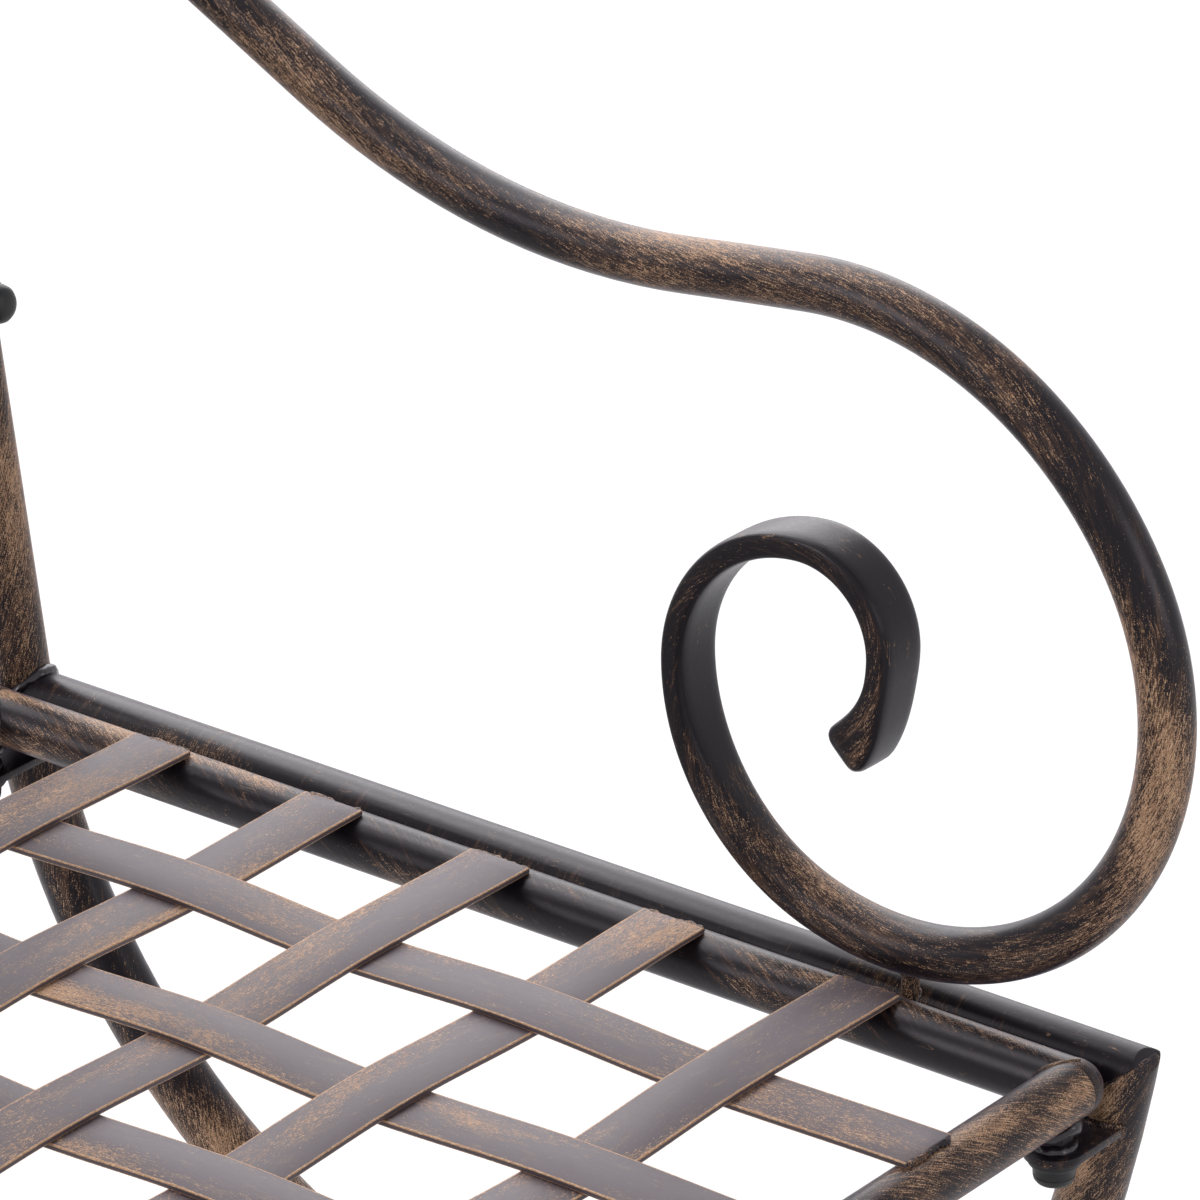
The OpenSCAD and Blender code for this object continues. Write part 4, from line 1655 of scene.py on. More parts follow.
@dataclass(frozen=True)
class WovenStrap:
    """A flat strap that rides over and under the straps that it crosses."""

    low: float
    high: float
    crossings: tuple[float, ...]
    first_over: bool
    ride: float = 0.0012
    step: float = 0.006
    edge: float = 0.00035
    grain_step: float = 0.7
    weld_radius: float = 0.00135
    weld_points: int = 19
    weld_inset: float = 0.0009
    weld_wander: float = 0.0007
    weld_sink: float = 0.0005
    weld_rise: float = 0.0003
    weld_seed: int = 60

    def height(self, place: float) -> float:
        """Height of the strap's middle at a place along it.

        Args:
            place: Distance along the strap.

        Returns:
            How far the strap rides above its own middle plane.
        """
        seats = self.crossings
        sign = 1.0 if self.first_over else -1.0
        number = sum(1 for seat in seats if seat <= place) - 1
        before = self.low if number < 0 else seats[number]
        after = self.high if number >= len(seats) - 1 else seats[number + 1]
        share = (place - before) / (after - before)
        up = sign * (1.0 if number % 2 == 0 else -1.0)
        if number < 0:
            wave = sign * (1.0 - math.cos(math.pi * share)) / 2.0
        elif number >= len(seats) - 1:
            wave = up * (1.0 + math.cos(math.pi * share)) / 2.0
        else:
            wave = up * math.cos(math.pi * share)
        return self.ride * wave

    def lay(self, finishes: Finishes, stem: str, place: Matrix, number: int) -> None:
        """Lays the strap and its two end welds at their place on the chair.

        Args:
            finishes: The chair's finishes.
            stem: Name of the solid that the strap replaces.
            place: Takes the strap from the origin to its place.
            number: Sets how its grain and its welds differ from those of other straps.
        """
        piece = settle(self.rolled(f"woven_{stem}", self.grain_step * number), place)
        hand_in(piece, finishes.strap, Slot.STRAP, stem)
        seed = self.weld_seed + 2 * number
        weld = self.end_weld(self.low, seed)
        joined(weld, [self.end_weld(self.high, seed + 1)])
        weld.name = weld.data.name = f"welds_{stem}"
        grain_of_run(weld, X_AXIS)
        hand_in(settle(weld, place), finishes.burr, Slot.STRAP)

    def rolled(self, name: str, shift: float) -> Piece:
        """Rolls the strap out along y at the origin.

        Args:
            name: The strap's name.
            shift: Added to its grain, so that straps differ.

        Returns:
            The strap, with its length along y and its width along x.
        """
        length = self.high - self.low
        bpy.ops.object.select_all(action="DESELECT")
        bpy.ops.mesh.primitive_grid_add(
            x_subdivisions=2,
            y_subdivisions=math.ceil(length / self.step),
            size=1.0,
            location=(0.0, (self.low + self.high) / 2.0, 0.0),
        )
        strap = bpy.context.object
        strap.scale = (CHAIR.strap_width, length, 1.0)
        strap = named(name)
        for corner in strap.data.vertices:
            corner.co.z = self.height(corner.co.y)
        plate = strap.modifiers.new("Plate", "SOLIDIFY")
        plate.thickness = CHAIR.strap_thickness
        plate.offset = 0.0
        bpy.ops.object.modifier_apply(modifier=plate.name)
        soften(strap, self.edge, angle=50.0)

        def place_on_stock(corner: Vector) -> Vector:
            """Gives a corner's place on the straight strap."""
            return Vector((corner.x, corner.z - self.height(corner.y), corner.y + shift))

        lay_grain(strap, place_on_stock)
        return strap

    def end_weld(self, place: float, seed: int) -> Piece:
        """Lays the bead that holds an end of the strap to its rail.

        Args:
            place: Where the strap ends.
            seed: Seed of the bead's lumps.

        Returns:
            The bead.
        """
        dice = random.Random(seed * 7 + 1)
        reach = CHAIR.strap_width / 2.0 - self.weld_inset
        points = []
        for number in range(self.weld_points):
            share = 2.0 * number / (self.weld_points - 1) - 1.0
            wander = dice.uniform(-self.weld_wander, self.weld_wander)
            height = self.weld_rise * abs(share) - self.weld_sink
            points.append(Vector((reach * share, place + wander, height)))
        return bead("strap_weld", points, self.weld_radius, seed, ring=False)


# The seat


@dataclass
class SeatPanel:
    """The seat's mitred rails, woven straps and corner fittings."""

    finishes: Finishes
    cross_places: tuple[float, ...] = (0.078, 0.1545, 0.225, 0.2945, 0.368)
    long_places: tuple[float, ...] = (0.1835, 0.1101, 0.0367, -0.0367, -0.1101, -0.1835)
    rail_sides: int = 48
    grain_step: float = 0.31
    corner_swell: float = 0.00025
    corner_dents: float = 0.00022
    corner_seed: int = 40
    corner_grain: tuple[float, float, float] = (1.0, 0.6, 0.0)
    seam_radius: float = 0.0010
    seam_sink: float = 0.0001
    seam_points: int = 23
    seam_sweep: float = 200.0
    seam_seed: int = 171
    bolt_inset: float = 0.009
    nut_height: float = 0.007
    tab_thickness: float = 0.003
    tab_width: float = 0.020
    tab_edge: float = 0.0004
    tab_flat: float = 0.0002
    tab_grain: tuple[float, float, float] = (0.8, 0.6, 0.0)
    tab_weld_inset: float = 0.0005
    tab_weld_radius: float = 0.0014
    tab_weld_points: int = 13
    tab_seeds: tuple[int, int] = (122, 121)
    nut_radius: float = 0.0064
    nut_seed: int = 131
    nut_weld_points: int = 22
    high_nut_weld: float = 0.0024
    high_nut_weld_drop: float = 0.0012
    low_nut_weld: float = 0.0015
    low_nut_weld_rise: float = 0.0008
    low_nut_weld_narrowing: float = 0.92
    cap_profile: tuple[tuple[float, float], ...] = (
        (0.0062, 0.0),
        (0.0080, 0.0),
        (0.0085, -0.0006),
        (0.0085, -0.0019),
        (0.0081, -0.0025),
        (0.0072, -0.0027),
        (0.0069, -0.0034),
        (0.00675, -0.0058),
        (0.0065, -0.0060),
        (0.0065, -0.0063),
        (0.0067, -0.0065),
        (0.0064, -0.0078),
        (0.0055, -0.0089),
        (0.0040, -0.0094),
        (0.0010, -0.0095),
    )

    @property
    def strap_height(self) -> float:
        """Height of the straps' middle over the rails' axes."""
        return CHAIR.panel_radius + CHAIR.strap_thickness / 2.0

    @property
    def bolt_x(self) -> float:
        """Distance of the bolts from the chair's middle."""
        return CHAIR.seat_width / 2.0 - self.bolt_inset

    @property
    def tab_top(self) -> float:
        """Height of the tabs' upper face under the rails' axes."""
        return -CHAIR.panel_radius - self.nut_height

    def build(self) -> None:
        """Builds the seat."""
        self.build_rails()
        self.build_corners()
        self.build_straps()
        self.build_tabs()
        self.build_nut_welds()
        self.build_caps()
        repaint(self.finishes.zinc, "seat_bolts")

    def build_rails(self) -> None:
        """Cuts the four rails of the panel, each brushed along its own run."""
        half = CHAIR.seat_width / 2.0
        left = Matrix.Translation((-half, 0.0, 0.0))
        right = Matrix.Translation((half, 0.0, 0.0))
        rear = Matrix.Translation((-half, CHAIR.seat_depth, 0.0))
        side = (CHAIR.seat_depth, self.finishes.panel_rail)
        wide = (CHAIR.seat_width, self.finishes.front_rail)
        rails = {
            "seat_side_rail_right": (right, *side),
            "seat_side_rail_left": (left, *side),
            "seat_front_rail": (left @ ACROSS, *wide),
            "seat_rear_rail": (rear @ ACROSS, *wide),
        }
        for number, (node, (place, length, finish)) in enumerate(rails.items()):
            path = TubePath(Station(0.0, 0.0, 0.0), (Bend(0.0, length),))
            rail = bent_tube(f"brushed_{node}", path, CHAIR.panel_radius, self.rail_sides)
            soften(rail, 0.0)
            grain_of_path(rail, path, self.grain_step * number)
            hand_in(settle(rail, CHAIR.place @ place), finish, Slot.TUBE, node)

    def build_corners(self) -> None:
        """Rounds the four welded corners of the panel, ground down by hand."""
        for number, (x, y) in enumerate(((1, 0), (-1, 0), (1, 1), (-1, 1))):
            centre = Vector((x * CHAIR.seat_width / 2.0, y * CHAIR.seat_depth, 0.0))
            side = "right" if x > 0 else "left"
            name = f"weld_seat_corner_{'rear' if y else 'front'}_{side}"
            bpy.ops.object.select_all(action="DESELECT")
            bpy.ops.mesh.primitive_uv_sphere_add(
                segments=self.rail_sides,
                ring_count=self.rail_sides // 2,
                radius=CHAIR.panel_radius + self.corner_swell,
                location=centre,
            )
            corner = named(name)
            with edit_mode(corner):
                bpy.ops.transform.vertex_random(
                    offset=self.corner_dents, seed=self.corner_seed + number
                )
                bpy.ops.mesh.vertices_smooth(factor=0.5, repeat=3)
            soften(corner, 0.0, angle=180.0)
            inward = Vector((-x, 1 - 2 * y, 0.0)).normalized()
            joined(corner, [self.corner_seam(centre, inward, self.seam_seed + number)])
            grain_of_run(corner, Vector(self.corner_grain).normalized())
            paint = self.finishes.panel_rail if y else self.finishes.front_rail
            hand_in(settle(corner, CHAIR.place), paint, Slot.TUBE)

    def corner_seam(self, centre: Vector, inward: Vector, seed: int) -> Piece:
        """Lays the bead along the inside of a corner's mitre.

        Args:
            centre: Where the two rails' axes meet.
            inward: Direction from there to the middle of the seat.
            seed: Seed of the bead's lumps.

        Returns:
            The bead.
        """
        radius = CHAIR.panel_radius - self.seam_sink
        points = []
        for number in range(self.seam_points):
            share = number / (self.seam_points - 1)
            angle = math.radians(share * self.seam_sweep - self.seam_sweep / 2.0)
            in_reach = inward * math.cos(angle) * math.sqrt(2.0)
            points.append(centre + radius * (in_reach + Vector((0.0, 0.0, math.sin(angle)))))
        return bead("corner_seam", points, self.seam_radius, seed, ring=False)

    def build_straps(self) -> None:
        """Weaves the seat's straps."""
        half = CHAIR.seat_width / 2.0
        lift = CHAIR.place @ Matrix.Translation((0.0, 0.0, self.strap_height))
        for number, place in enumerate(self.cross_places):
            seats = tuple(sorted(self.long_places))
            strap = WovenStrap(-half, half, seats, number % 2 == 1)
            spot = lift @ Matrix.Translation((0.0, place, 0.0)) @ ACROSS
            strap.lay(self.finishes, f"seat_cross_strap_{number + 1}", spot, number)
        for number, place in enumerate(self.long_places):
            strap = WovenStrap(0.0, CHAIR.seat_depth, self.cross_places, number % 2 == 1)
            spot = lift @ Matrix.Translation((place, 0.0, 0.0))
            strap.lay(self.finishes, f"seat_long_strap_{number + 1}", spot, 5 + number)

    def build_tabs(self) -> None:
        """Shapes the tabs that carry the seat's corners, with their welds to the legs."""
        lean = math.radians(CHAIR.lean)
        steep = math.radians(SideFrame.leg_slope)
        level = self.tab_top - self.tab_thickness / 2.0
        front_leg = SideFrame.corner_y - math.tan(steep) * (level + CHAIR.rail_drop)
        rear_leg = CHAIR.post_y + math.tan(lean) * level
        ends = (("front", 0.0, front_leg), ("rear", CHAIR.seat_depth, rear_leg))
        for (name, y, leg_y), seed in zip(ends, self.tab_seeds):
            plate = self.tab(f"{name}_tab")
            settle(plate, Matrix.Translation((0.0, y, level)))
            loop = self.tab_loop(y, leg_y, level)
            joined(plate, [bead(f"{name}_tab_weld", loop, self.tab_weld_radius, seed)])
            grain_of_run(plate, Vector(self.tab_grain), y)
            settle(plate, CHAIR.place)
            both_sides(plate, self.finishes.tab, Slot.TUBE, f"welded_{name}_tab", f"{name}_tabs")

    def tab(self, name: str) -> Piece:
        """Cuts one tab from flat bar, round at its bolt.

        Args:
            name: The tab's name.

        Returns:
            The tab at the height of the origin.
        """
        near = self.bolt_x - self.tab_width / 2.0
        far = CHAIR.side_plane - CHAIR.frame_radius / 2.0
        bpy.ops.object.select_all(action="DESELECT")
        bpy.ops.mesh.primitive_cube_add(size=1.0, location=((near + far) / 2.0, 0.0, 0.0))
        bpy.context.object.scale = (far - near, self.tab_width, self.tab_thickness)
        plate = named(name)

        def upright_near_edge(one: Vector, other: Vector) -> bool:
            """Tells the two upright edges at the bolt's end."""
            return max(one.x, other.x) < near + MERGE_GAP and abs(one.z - other.z) > MERGE_GAP

        with edit_mode(plate):
            pick_edges(plate, upright_near_edge)
            radius = self.tab_width / 2.0 - self.tab_flat
            bpy.ops.mesh.bevel(offset=radius, segments=10, affect="EDGES")
        soften(plate, self.tab_edge)
        return plate

    def tab_loop(self, y: float, leg_y: float, level: float) -> list[Vector]:
        """Finds the line where a tab meets its leg.

        Args:
            y: Place of the tab.
            leg_y: Place of the leg's axis at the tab's height.
            level: Height of the tab's middle.

        Returns:
            The loop's points, over the tab and back under it.
        """
        loop = []
        half = self.tab_width / 2.0
        for top in (1.0, -1.0):
            for number in range(self.tab_weld_points):
                share = 2.0 * number / (self.tab_weld_points - 1) - 1.0
                off = top * share * (half - self.tab_weld_inset)
                depth = max(0.0, CHAIR.frame_radius**2 - (y + off - leg_y) ** 2)
                x = CHAIR.side_plane - math.sqrt(depth)
                loop.append(Vector((x, y + off, level + top * self.tab_thickness / 2.0)))
        return loop

    def build_nut_welds(self) -> None:
        """Lays the lumpy bead round the top of each weld nut."""
        repaint(self.finishes.fittings, "seat_nuts")
        rail = (Vector(), X_AXIS, CHAIR.panel_radius)
        below = Vector((self.bolt_x, 0.0, self.tab_top))
        rim = saddle(rail, (below, Z_AXIS, self.nut_radius), self.nut_weld_points)
        level = self.tab_top + self.low_nut_weld_rise
        upper = [p - Z_AXIS * self.high_nut_weld_drop for p in rim]
        lower = [Vector((p.x, p.y * self.low_nut_weld_narrowing, level)) for p in rim]
        weld = bead("nut_weld", upper, self.high_nut_weld, self.nut_seed)
        joined(weld, [bead("nut_weld_low", lower, self.low_nut_weld, self.nut_seed + 1)])
        grain_of_run(weld, Z_AXIS)
        settle(weld, CHAIR.place)
        rear = copied(weld, "nut_weld_rear", Matrix.Translation((0.0, CHAIR.seat_depth, 0.0)))
        both_sides(weld, self.finishes.lump, Slot.TUBE, "weld_front_seat_nut")
        both_sides(rear, self.finishes.lump, Slot.TUBE, "weld_rear_seat_nut")

    def build_caps(self) -> None:
        """Turns the domed caps over the bolts' heads."""
        cap = turned("seat_cap", self.cap_profile)
        settle(cap, Matrix.Translation((self.bolt_x, 0.0, self.tab_top - self.tab_thickness)))
        settle(cap, CHAIR.place)
        rear = copied(cap, "seat_cap_rear", Matrix.Translation((0.0, CHAIR.seat_depth, 0.0)))
        for stem, piece in (("front_seat_bolt_cap", cap), ("rear_seat_bolt_cap", rear)):
            both_sides(piece, self.finishes.plastic, Slot.PLASTIC, stem, "seat_bolt_caps")


# The back


@dataclass
class BackPanel:
    """The arched back: its tubes, woven straps, tabs and bolts."""

    finishes: Finishes
    low: float = 0.096
    spring: float = 0.408
    arch_rise: float = 0.082
    arch_lead: float = 3.0
    first_cross: float = 0.158
    cross_pitch: float = 0.0714286
    cross_count: int = 4
    up_places: tuple[float, ...] = (-0.173667, -0.086833, 0.0, 0.086833, 0.173667)
    bolt_heights: tuple[float, ...] = (0.139, 0.290)
    ring_step: float = 1.5
    saw_rounding: float = 0.0004
    corner_weld_radius: float = 0.0006
    corner_weld_sink: float = 0.0003
    corner_weld_points: int = 48
    corner_seed: int = 151
    first_strap: int = 11
    stretcher_axis: tuple[float, float, float] = (0.0, -0.0307, 0.1909)

    @property
    def arch_radius(self) -> float:
        """Radius of the arch's axis."""
        half = CHAIR.seat_width / 2.0
        return (half * half + self.arch_rise**2) / (2.0 * self.arch_rise)

    @property
    def arch_middle(self) -> float:
        """Height of the arch's centre along the posts."""
        return self.spring + self.arch_rise - self.arch_radius

    @property
    def arch_half(self) -> float:
        """Half the arch's sweep, in degrees."""
        return math.degrees(math.asin(CHAIR.seat_width / 2.0 / self.arch_radius))

    def build(self) -> None:
        """Builds the back panel."""
        self.build_arch()
        self.paint_tubes()
        self.build_corner_welds()
        self.build_straps()
        self.paint_fittings()

    @property
    def arch_slant(self) -> float:
        """Angle of the mitres between arch and stiles, in radians."""
        return math.radians(45.0 - self.arch_half / 2.0)

    def build_arch(self) -> None:
        """Bends the arch and saws its mitres."""
        reach = self.arch_half + self.arch_lead
        begin = math.radians(90.0 + reach)
        start = Station(
            self.arch_radius * math.cos(begin),
            self.arch_middle + self.arch_radius * math.sin(begin),
            reach,
        )
        path = TubePath(start, (Bend(self.arch_radius, -2.0 * reach),))
        arch = bent_tube("brushed_back_arch", path, CHAIR.panel_radius, step=self.ring_step)
        slant = self.arch_slant
        for side in (1.0, -1.0):
            corner = (0.0, side * CHAIR.seat_width / 2.0, self.spring)
            trim(arch, corner, (0.0, side * math.sin(slant), -math.cos(slant)))
        soften(arch, self.saw_rounding)
        grain_of_path(arch, path)
        flat = Matrix(((0, 1, 0, 0), (-1, 0, 0, 0), (0, 0, 1, 0), (0, 0, 0, 1)))
        settle(arch, CHAIR.back @ flat)
        hand_in(arch, self.finishes.arm, Slot.TUBE, "back_arch")

    def paint_tubes(self) -> None:
        """Brushes the straight tubes of the panel, and the stretcher."""
        _, up, _ = CHAIR.post
        half = CHAIR.seat_width / 2.0
        for node, run, spot in (
            ("back_stile_right", up, CHAIR.back @ Vector((half, 0.0, 0.0))),
            ("back_stile_left", up, CHAIR.back @ Vector((-half, 0.0, 0.0))),
            ("back_bottom_rail", X_AXIS, CHAIR.back @ Vector((0.0, 0.0, self.low))),
            ("stretcher", X_AXIS, Vector(self.stretcher_axis)),
        ):
            name = f"bronze brushed {node.replace('_', ' ')}"
            repaint(brushed_straight(name, Stroke.WOUND, run, spot), node)

    def build_corner_welds(self) -> None:
        """Lays the ground-down beads over the panel's four mitres."""
        radius = CHAIR.panel_radius - self.corner_weld_sink
        top, low = ("top", self.spring, self.arch_slant), ("low", self.low, -math.pi / 4)
        corners = ((1, *top), (-1, *top), (1, *low), (-1, *low))
        for number, (side, level, height, tilt) in enumerate(corners):
            stretch = 1.0 / math.cos(tilt) if tilt > 0 else math.sqrt(2.0)
            ring = []
            for angle in turn_angles(self.corner_weld_points):
                out = radius * math.cos(angle) * stretch
                x = side * (CHAIR.seat_width / 2.0 + out * math.cos(tilt))
                ring.append(Vector((x, radius * math.sin(angle), height + out * math.sin(tilt))))
            name = f"weld_back_corner_{level}_{'right' if side > 0 else 'left'}"
            weld = bead(name, ring, self.corner_weld_radius, self.corner_seed + number)
            grain_of_run(weld, X_AXIS)
            settle(weld, CHAIR.back)
            hand_in(weld, self.finishes.weld, Slot.TUBE)

    def build_straps(self) -> None:
        """Weaves the back's straps on the front of its tubes."""
        half = CHAIR.seat_width / 2.0
        forward = -CHAIR.panel_radius - CHAIR.strap_thickness / 2.0
        face = CHAIR.back @ Matrix.Translation((0.0, forward, 0.0))
        steps = range(self.cross_count)
        cross_places = tuple(self.first_cross + self.cross_pitch * step for step in steps)
        for number, place in enumerate(cross_places):
            strap = WovenStrap(-half, half, self.up_places, number % 2 == 0)
            spot = face @ Matrix.Translation((0.0, 0.0, place)) @ UPRIGHT @ ACROSS
            order = self.first_strap + number
            strap.lay(self.finishes, f"back_cross_strap_{number + 1}", spot, order)
        for number, place in enumerate(self.up_places):
            top = self.arch_middle + math.sqrt(self.arch_radius**2 - place**2)
            strap = WovenStrap(self.low, top, cross_places, number % 2 == 1)
            spot = face @ Matrix.Translation((place, 0.0, 0.0)) @ UPRIGHT
            order = self.first_strap + self.cross_count + number
            strap.lay(self.finishes, f"back_up_strap_{number + 1}", spot, order)

    def paint_fittings(self) -> None:
        """Paints the tabs, nuts and bolts behind the posts."""
        repaint(self.finishes.fittings, "back_tabs", "back_nuts", "stretcher_plugs")
        repaint(self.finishes.zinc, "back_bolts", "stretcher_bolts")


# Caps, plugs and feet


@dataclass
class CapsAndFeet:
    """Black plastic caps on the bolts, plugs in the posts and caps on the feet."""

    finishes: Finishes
    side_frame: SideFrame
    plug_height: float = 0.008
    plug_depth: float = 0.014
    plug_rim: float = 0.0006
    plug_neck: float = 0.9
    plug_tip: float = 0.0006
    plug_rings: int = 8
    foot_radius: float = 0.0135
    foot_length: float = 0.030
    foot_rounding: float = 0.0012
    foot_run_on: float = 1.7
    foot_ring_step: float = 0.6
    saddle_profile: tuple[tuple[float, float], ...] = (
        (0.0078, -0.0036),
        (0.0083, -0.0034),
        (0.0085, -0.0020),
        (0.0085, 0.0018),
        (0.0080, 0.0025),
        (0.0072, 0.0027),
        (0.0070, 0.0034),
        (0.0069, 0.0060),
        (0.0063, 0.0082),
        (0.0052, 0.0095),
        (0.0034, 0.0103),
        (0.0010, 0.0105),
    )

    def build(self) -> None:
        """Builds all the plastic parts."""
        self.build_back_caps()
        self.build_stretcher_caps()
        self.build_plugs()
        self.build_feet()

    def build_back_caps(self) -> None:
        """Sets the saddle caps on the fronts of the posts."""
        for name, height in zip(("low", "high"), BackPanel.bolt_heights):
            stand = Matrix.Translation((CHAIR.side_plane, 0.0, height))
            cap = self.saddle_cap(CHAIR.back @ stand @ UPRIGHT)
            stem = f"{name}_back_bolt_cap"
            both_sides(cap, self.finishes.plastic, Slot.PLASTIC, stem, "back_bolt_caps")

    def build_stretcher_caps(self) -> None:
        """Sets the saddle caps on the outsides of the crossings."""
        outward = Matrix.Rotation(math.radians(90.0), 4, "Y")
        stand = Matrix.Translation(self.side_frame.crossing_point())
        cap = self.saddle_cap(CHAIR.side @ stand @ outward)
        stem = "stretcher_bolt_cap"
        both_sides(cap, self.finishes.plastic, Slot.PLASTIC, stem, "stretcher_bolt_caps")

    def saddle_cap(self, place: Matrix) -> Piece:
        """Turns a cap whose skirt sits on a tube.

        Args:
            place: Takes the cap from the tube's axis at the origin to its place.

        Returns:
            The cap.
        """
        cap = turned("saddle_cap", self.saddle_profile)
        settle(cap, Matrix.Translation((0.0, 0.0, CHAIR.frame_radius)))
        return settle(cap, place)

    def build_plugs(self) -> None:
        """Domes the plugs in the tops of the posts."""
        rim, low = CHAIR.frame_radius, self.plug_rim
        globe = (rim * rim + self.plug_height**2) / (2.0 * self.plug_height)
        neck = rim * self.plug_neck
        profile = [(neck, -self.plug_depth), (neck, 0.0), (rim, 0.0), (rim, low)]
        for number in range(1, self.plug_rings + 1):
            share = math.sin(math.pi / 2.0 * number / self.plug_rings)
            high = low + (self.plug_height - low) * share
            wide = math.sqrt(max(0.0, globe**2 - (high - self.plug_height + globe) ** 2))
            profile.append((max(wide, self.plug_tip), high))
        plug = turned("plug", profile)
        settle(plug, CHAIR.back @ Matrix.Translation((CHAIR.side_plane, 0.0, CHAIR.post_length)))
        both_sides(plug, self.finishes.plastic, Slot.PLASTIC, "post_plug", "post_plugs")

    def build_feet(self) -> None:
        """Bends the foot caps round the ends of the legs and cuts them flat at the floor."""
        floor = -CHAIR.seat_height
        for name, path, node in (
            ("rear_foot", self.side_frame.leg_path(), "rear_foot_caps"),
            ("front_foot", self.side_frame.rear_path(), "front_foot_caps"),
        ):
            last, begin = path.bends[-1], path.stations()[-2]
            middle = last.centre(begin)
            side = math.copysign(1.0, last.sweep)
            lowest = math.asin((floor - middle.z) / last.radius)
            if side > 0:
                lowest = math.pi - lowest
            ground = Station(
                middle.y + last.radius * math.cos(lowest),
                middle.z + last.radius * math.sin(lowest),
                math.degrees(lowest) + 90.0 * side,
            )
            sweep = math.copysign(math.degrees(self.foot_length / last.radius), side)
            top = Bend(last.radius, sweep).end(ground, -1.0)
            short = TubePath(top, (Bend(last.radius, sweep * self.foot_run_on),))
            foot = bent_tube(name, short, self.foot_radius, step=self.foot_ring_step)
            trim(foot, (0.0, 0.0, floor), -Z_AXIS)
            soften(foot, self.foot_rounding, 3)
            settle(foot, CHAIR.side)
            both_sides(foot, self.finishes.plastic, Slot.PLASTIC, f"{name}_cap", node)


# Studio


@dataclass(frozen=True)
class Softbox:
    """A large soft lamp."""

    name: str
    place: tuple[float, float, float]
    aim: tuple[float, float, float]
    size: float
    power: float


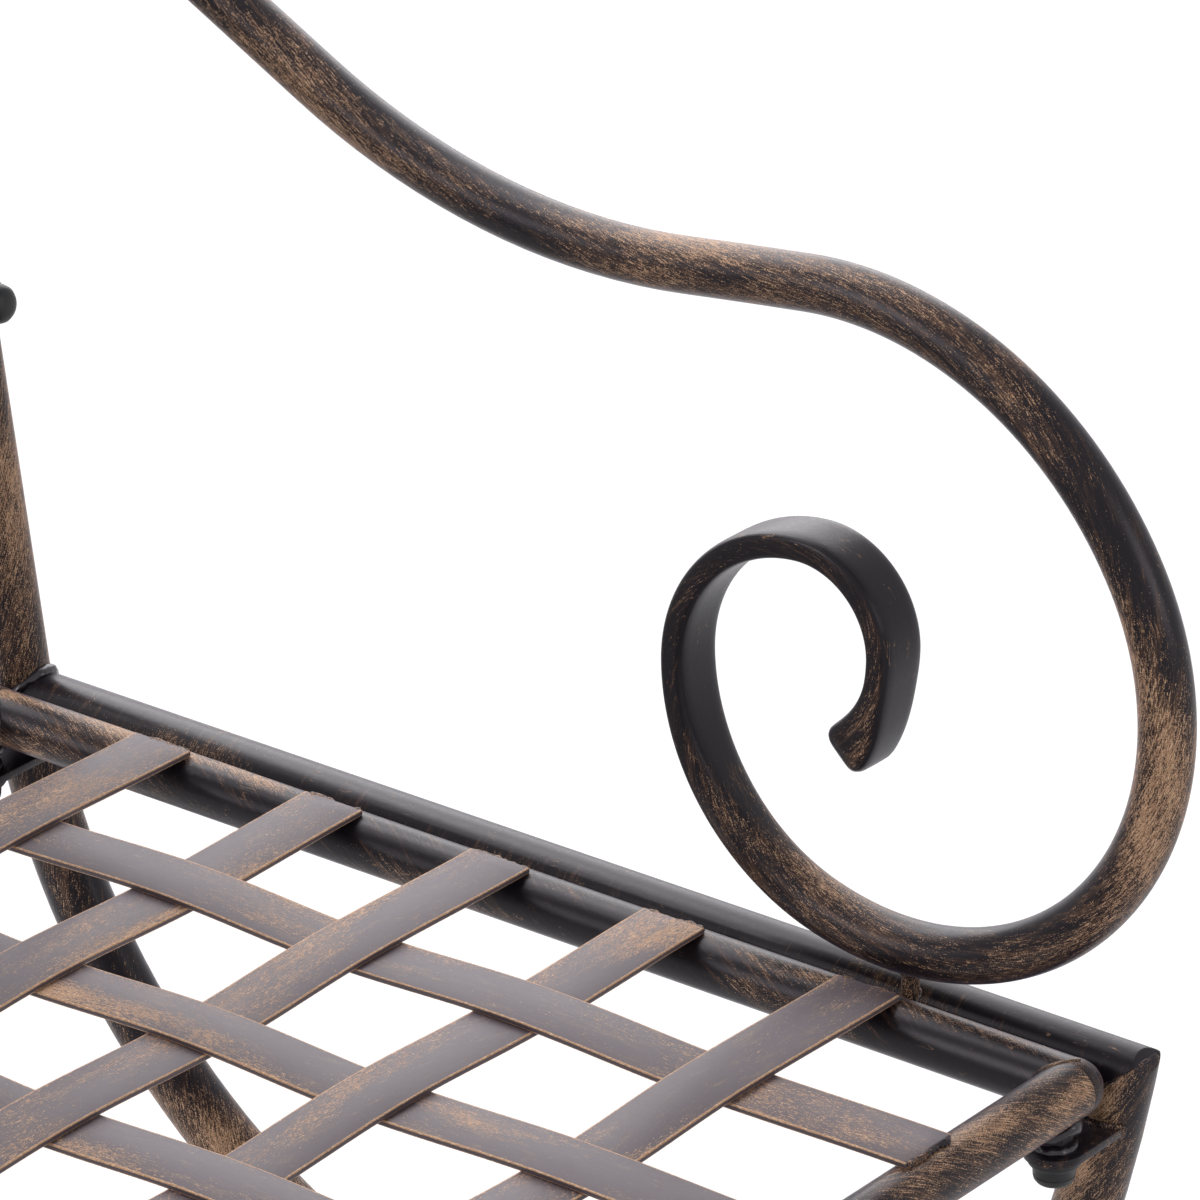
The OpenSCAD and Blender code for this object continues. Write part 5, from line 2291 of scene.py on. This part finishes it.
@dataclass
class Studio:
    """Camera, pale floor, lamps and white surroundings."""

    camera_place: tuple[float, float, float] = (-1.6408, -1.52935, 1.6308)
    camera_right: tuple[float, float, float] = (0.6101, -0.7924, 0.0014)
    camera_back: tuple[float, float, float] = (-0.7215, -0.5548, 0.4142)
    lens: float = 250.4
    sensor: float = 36.0
    nearest: float = 0.05
    floor_size: float = 14.0
    floor_shades: tuple[Colour, Colour] = ((0.80, 0.80, 0.80), (0.84, 0.84, 0.84))
    floor_clouds: float = 2.0
    floor_roughness: float = 0.9
    floor_glow: float = 1.08
    glow_reach: tuple[float, float] = (0.5, 1.6)
    glow_near_chair: float = 0.60
    surroundings: float = 0.36
    lamps: tuple[Softbox, ...] = (
        Softbox("top softbox", (0.4, 1.2, 2.1), (0.1, 0.0, 0.5), 1.4, 34.0),
        Softbox("far softbox", (1.69, 1.26, 1.62), (0.1, 0.1, 0.55), 2.0, 40.0),
        Softbox("left softbox", (-2.2, 1.4, 1.6), (0.1, 0.0, 0.5), 1.2, 38.0),
        Softbox("front softbox", (0.3, -2.5, 1.5), (0.2, 0.0, 0.5), 1.2, 18.0),
    )

    def build(self) -> None:
        """Sets up the studio."""
        self.build_camera()
        self.build_floor()
        self.build_surroundings()
        for lamp in self.lamps:
            self.hang(lamp)
        bpy.context.scene.view_settings.view_transform = "Standard"

    def build_camera(self) -> None:
        """Stands the camera where the photograph was taken."""
        camera = bpy.data.cameras.new("camera")
        camera.sensor_width = self.sensor
        camera.lens = self.lens
        camera.clip_start = self.nearest
        stand = bpy.data.objects.new("camera", camera)
        bpy.context.scene.collection.objects.link(stand)
        back = Vector(self.camera_back).normalized()
        right = Vector(self.camera_right)
        right = (right - back * right.dot(back)).normalized()
        up = back.cross(right)
        turn = Matrix((right, up, back)).transposed().to_4x4()
        stand.matrix_world = Matrix.Translation(self.camera_place) @ turn
        bpy.context.scene.camera = stand

    def build_floor(self) -> None:
        """Lays a pale floor that shows white and keeps the chair's shadow."""
        bpy.ops.object.select_all(action="DESELECT")
        bpy.ops.mesh.primitive_plane_add(size=self.floor_size, location=(0.0, 0.0, 0.0))
        floor = named("floor")
        work = Paintwork("pale floor")
        place = work.own_place()
        shade = work.blend(work.noise(place, self.floor_clouds), *self.floor_shades)
        work.dress({"Base Color": shade, "Roughness": self.floor_roughness})
        matte = work.shader.outputs[0]
        glow = work.add("ShaderNodeEmission", {"Color": WHITE, "Strength": self.floor_glow})
        away = work.add("ShaderNodeVectorMath", {0: place}, 1, operation="LENGTH")
        whiter = work.ease(away, *self.glow_reach, self.glow_near_chair, 1.0)
        lit = work.add("ShaderNodeMixShader", {0: whiter, 1: matte, 2: glow})
        seen = work.add("ShaderNodeMixShader", {0: work.straight_sight(), 1: matte, 2: lit})
        work.feed(work.tree.nodes["Material Output"].inputs["Surface"], seen)
        floor.data.materials.append(work.material)

    def build_surroundings(self) -> None:
        """Lights the chair from all round and shows white behind it."""
        world = bpy.data.worlds.new("studio")
        bpy.context.scene.world = world
        world.use_nodes = True
        sky = NodeWork(world.node_tree)
        light = sky.tree.nodes["Background"]
        sky.feed(light.inputs["Color"], WHITE)
        sky.feed(light.inputs["Strength"], self.surroundings)
        white = sky.add("ShaderNodeBackground", {"Color": WHITE, "Strength": 1.0})
        feeds = {0: sky.straight_sight(), 1: light.outputs[0], 2: white}
        both = sky.add("ShaderNodeMixShader", feeds)
        sky.feed(sky.tree.nodes["World Output"].inputs["Surface"], both)

    def hang(self, lamp: Softbox) -> None:
        """Hangs a softbox and aims it.

        Args:
            lamp: The softbox.
        """
        light = bpy.data.lights.new(lamp.name, "AREA")
        light.size = lamp.size
        light.energy = lamp.power
        stand = bpy.data.objects.new(lamp.name, light)
        bpy.context.scene.collection.objects.link(stand)
        aim = (Vector(lamp.aim) - Vector(lamp.place)).to_track_quat("-Z", "Y")
        stand.matrix_world = Matrix.Translation(lamp.place) @ aim.to_matrix().to_4x4()


def main() -> None:
    """Builds the studio and the chair, sub-assembly by sub-assembly."""
    logging.basicConfig(level=logging.INFO, format="%(message)s")
    finishes = Finishes()
    side_frame = SideFrame(finishes)
    for assembly in (
        Studio(),
        side_frame,
        ScrollArm(finishes),
        SeatPanel(finishes),
        BackPanel(finishes),
        CapsAndFeet(finishes, side_frame),
    ):
        LOG.info("building %s", type(assembly).__name__)
        assembly.build()


if __name__ == "__main__":
    main()
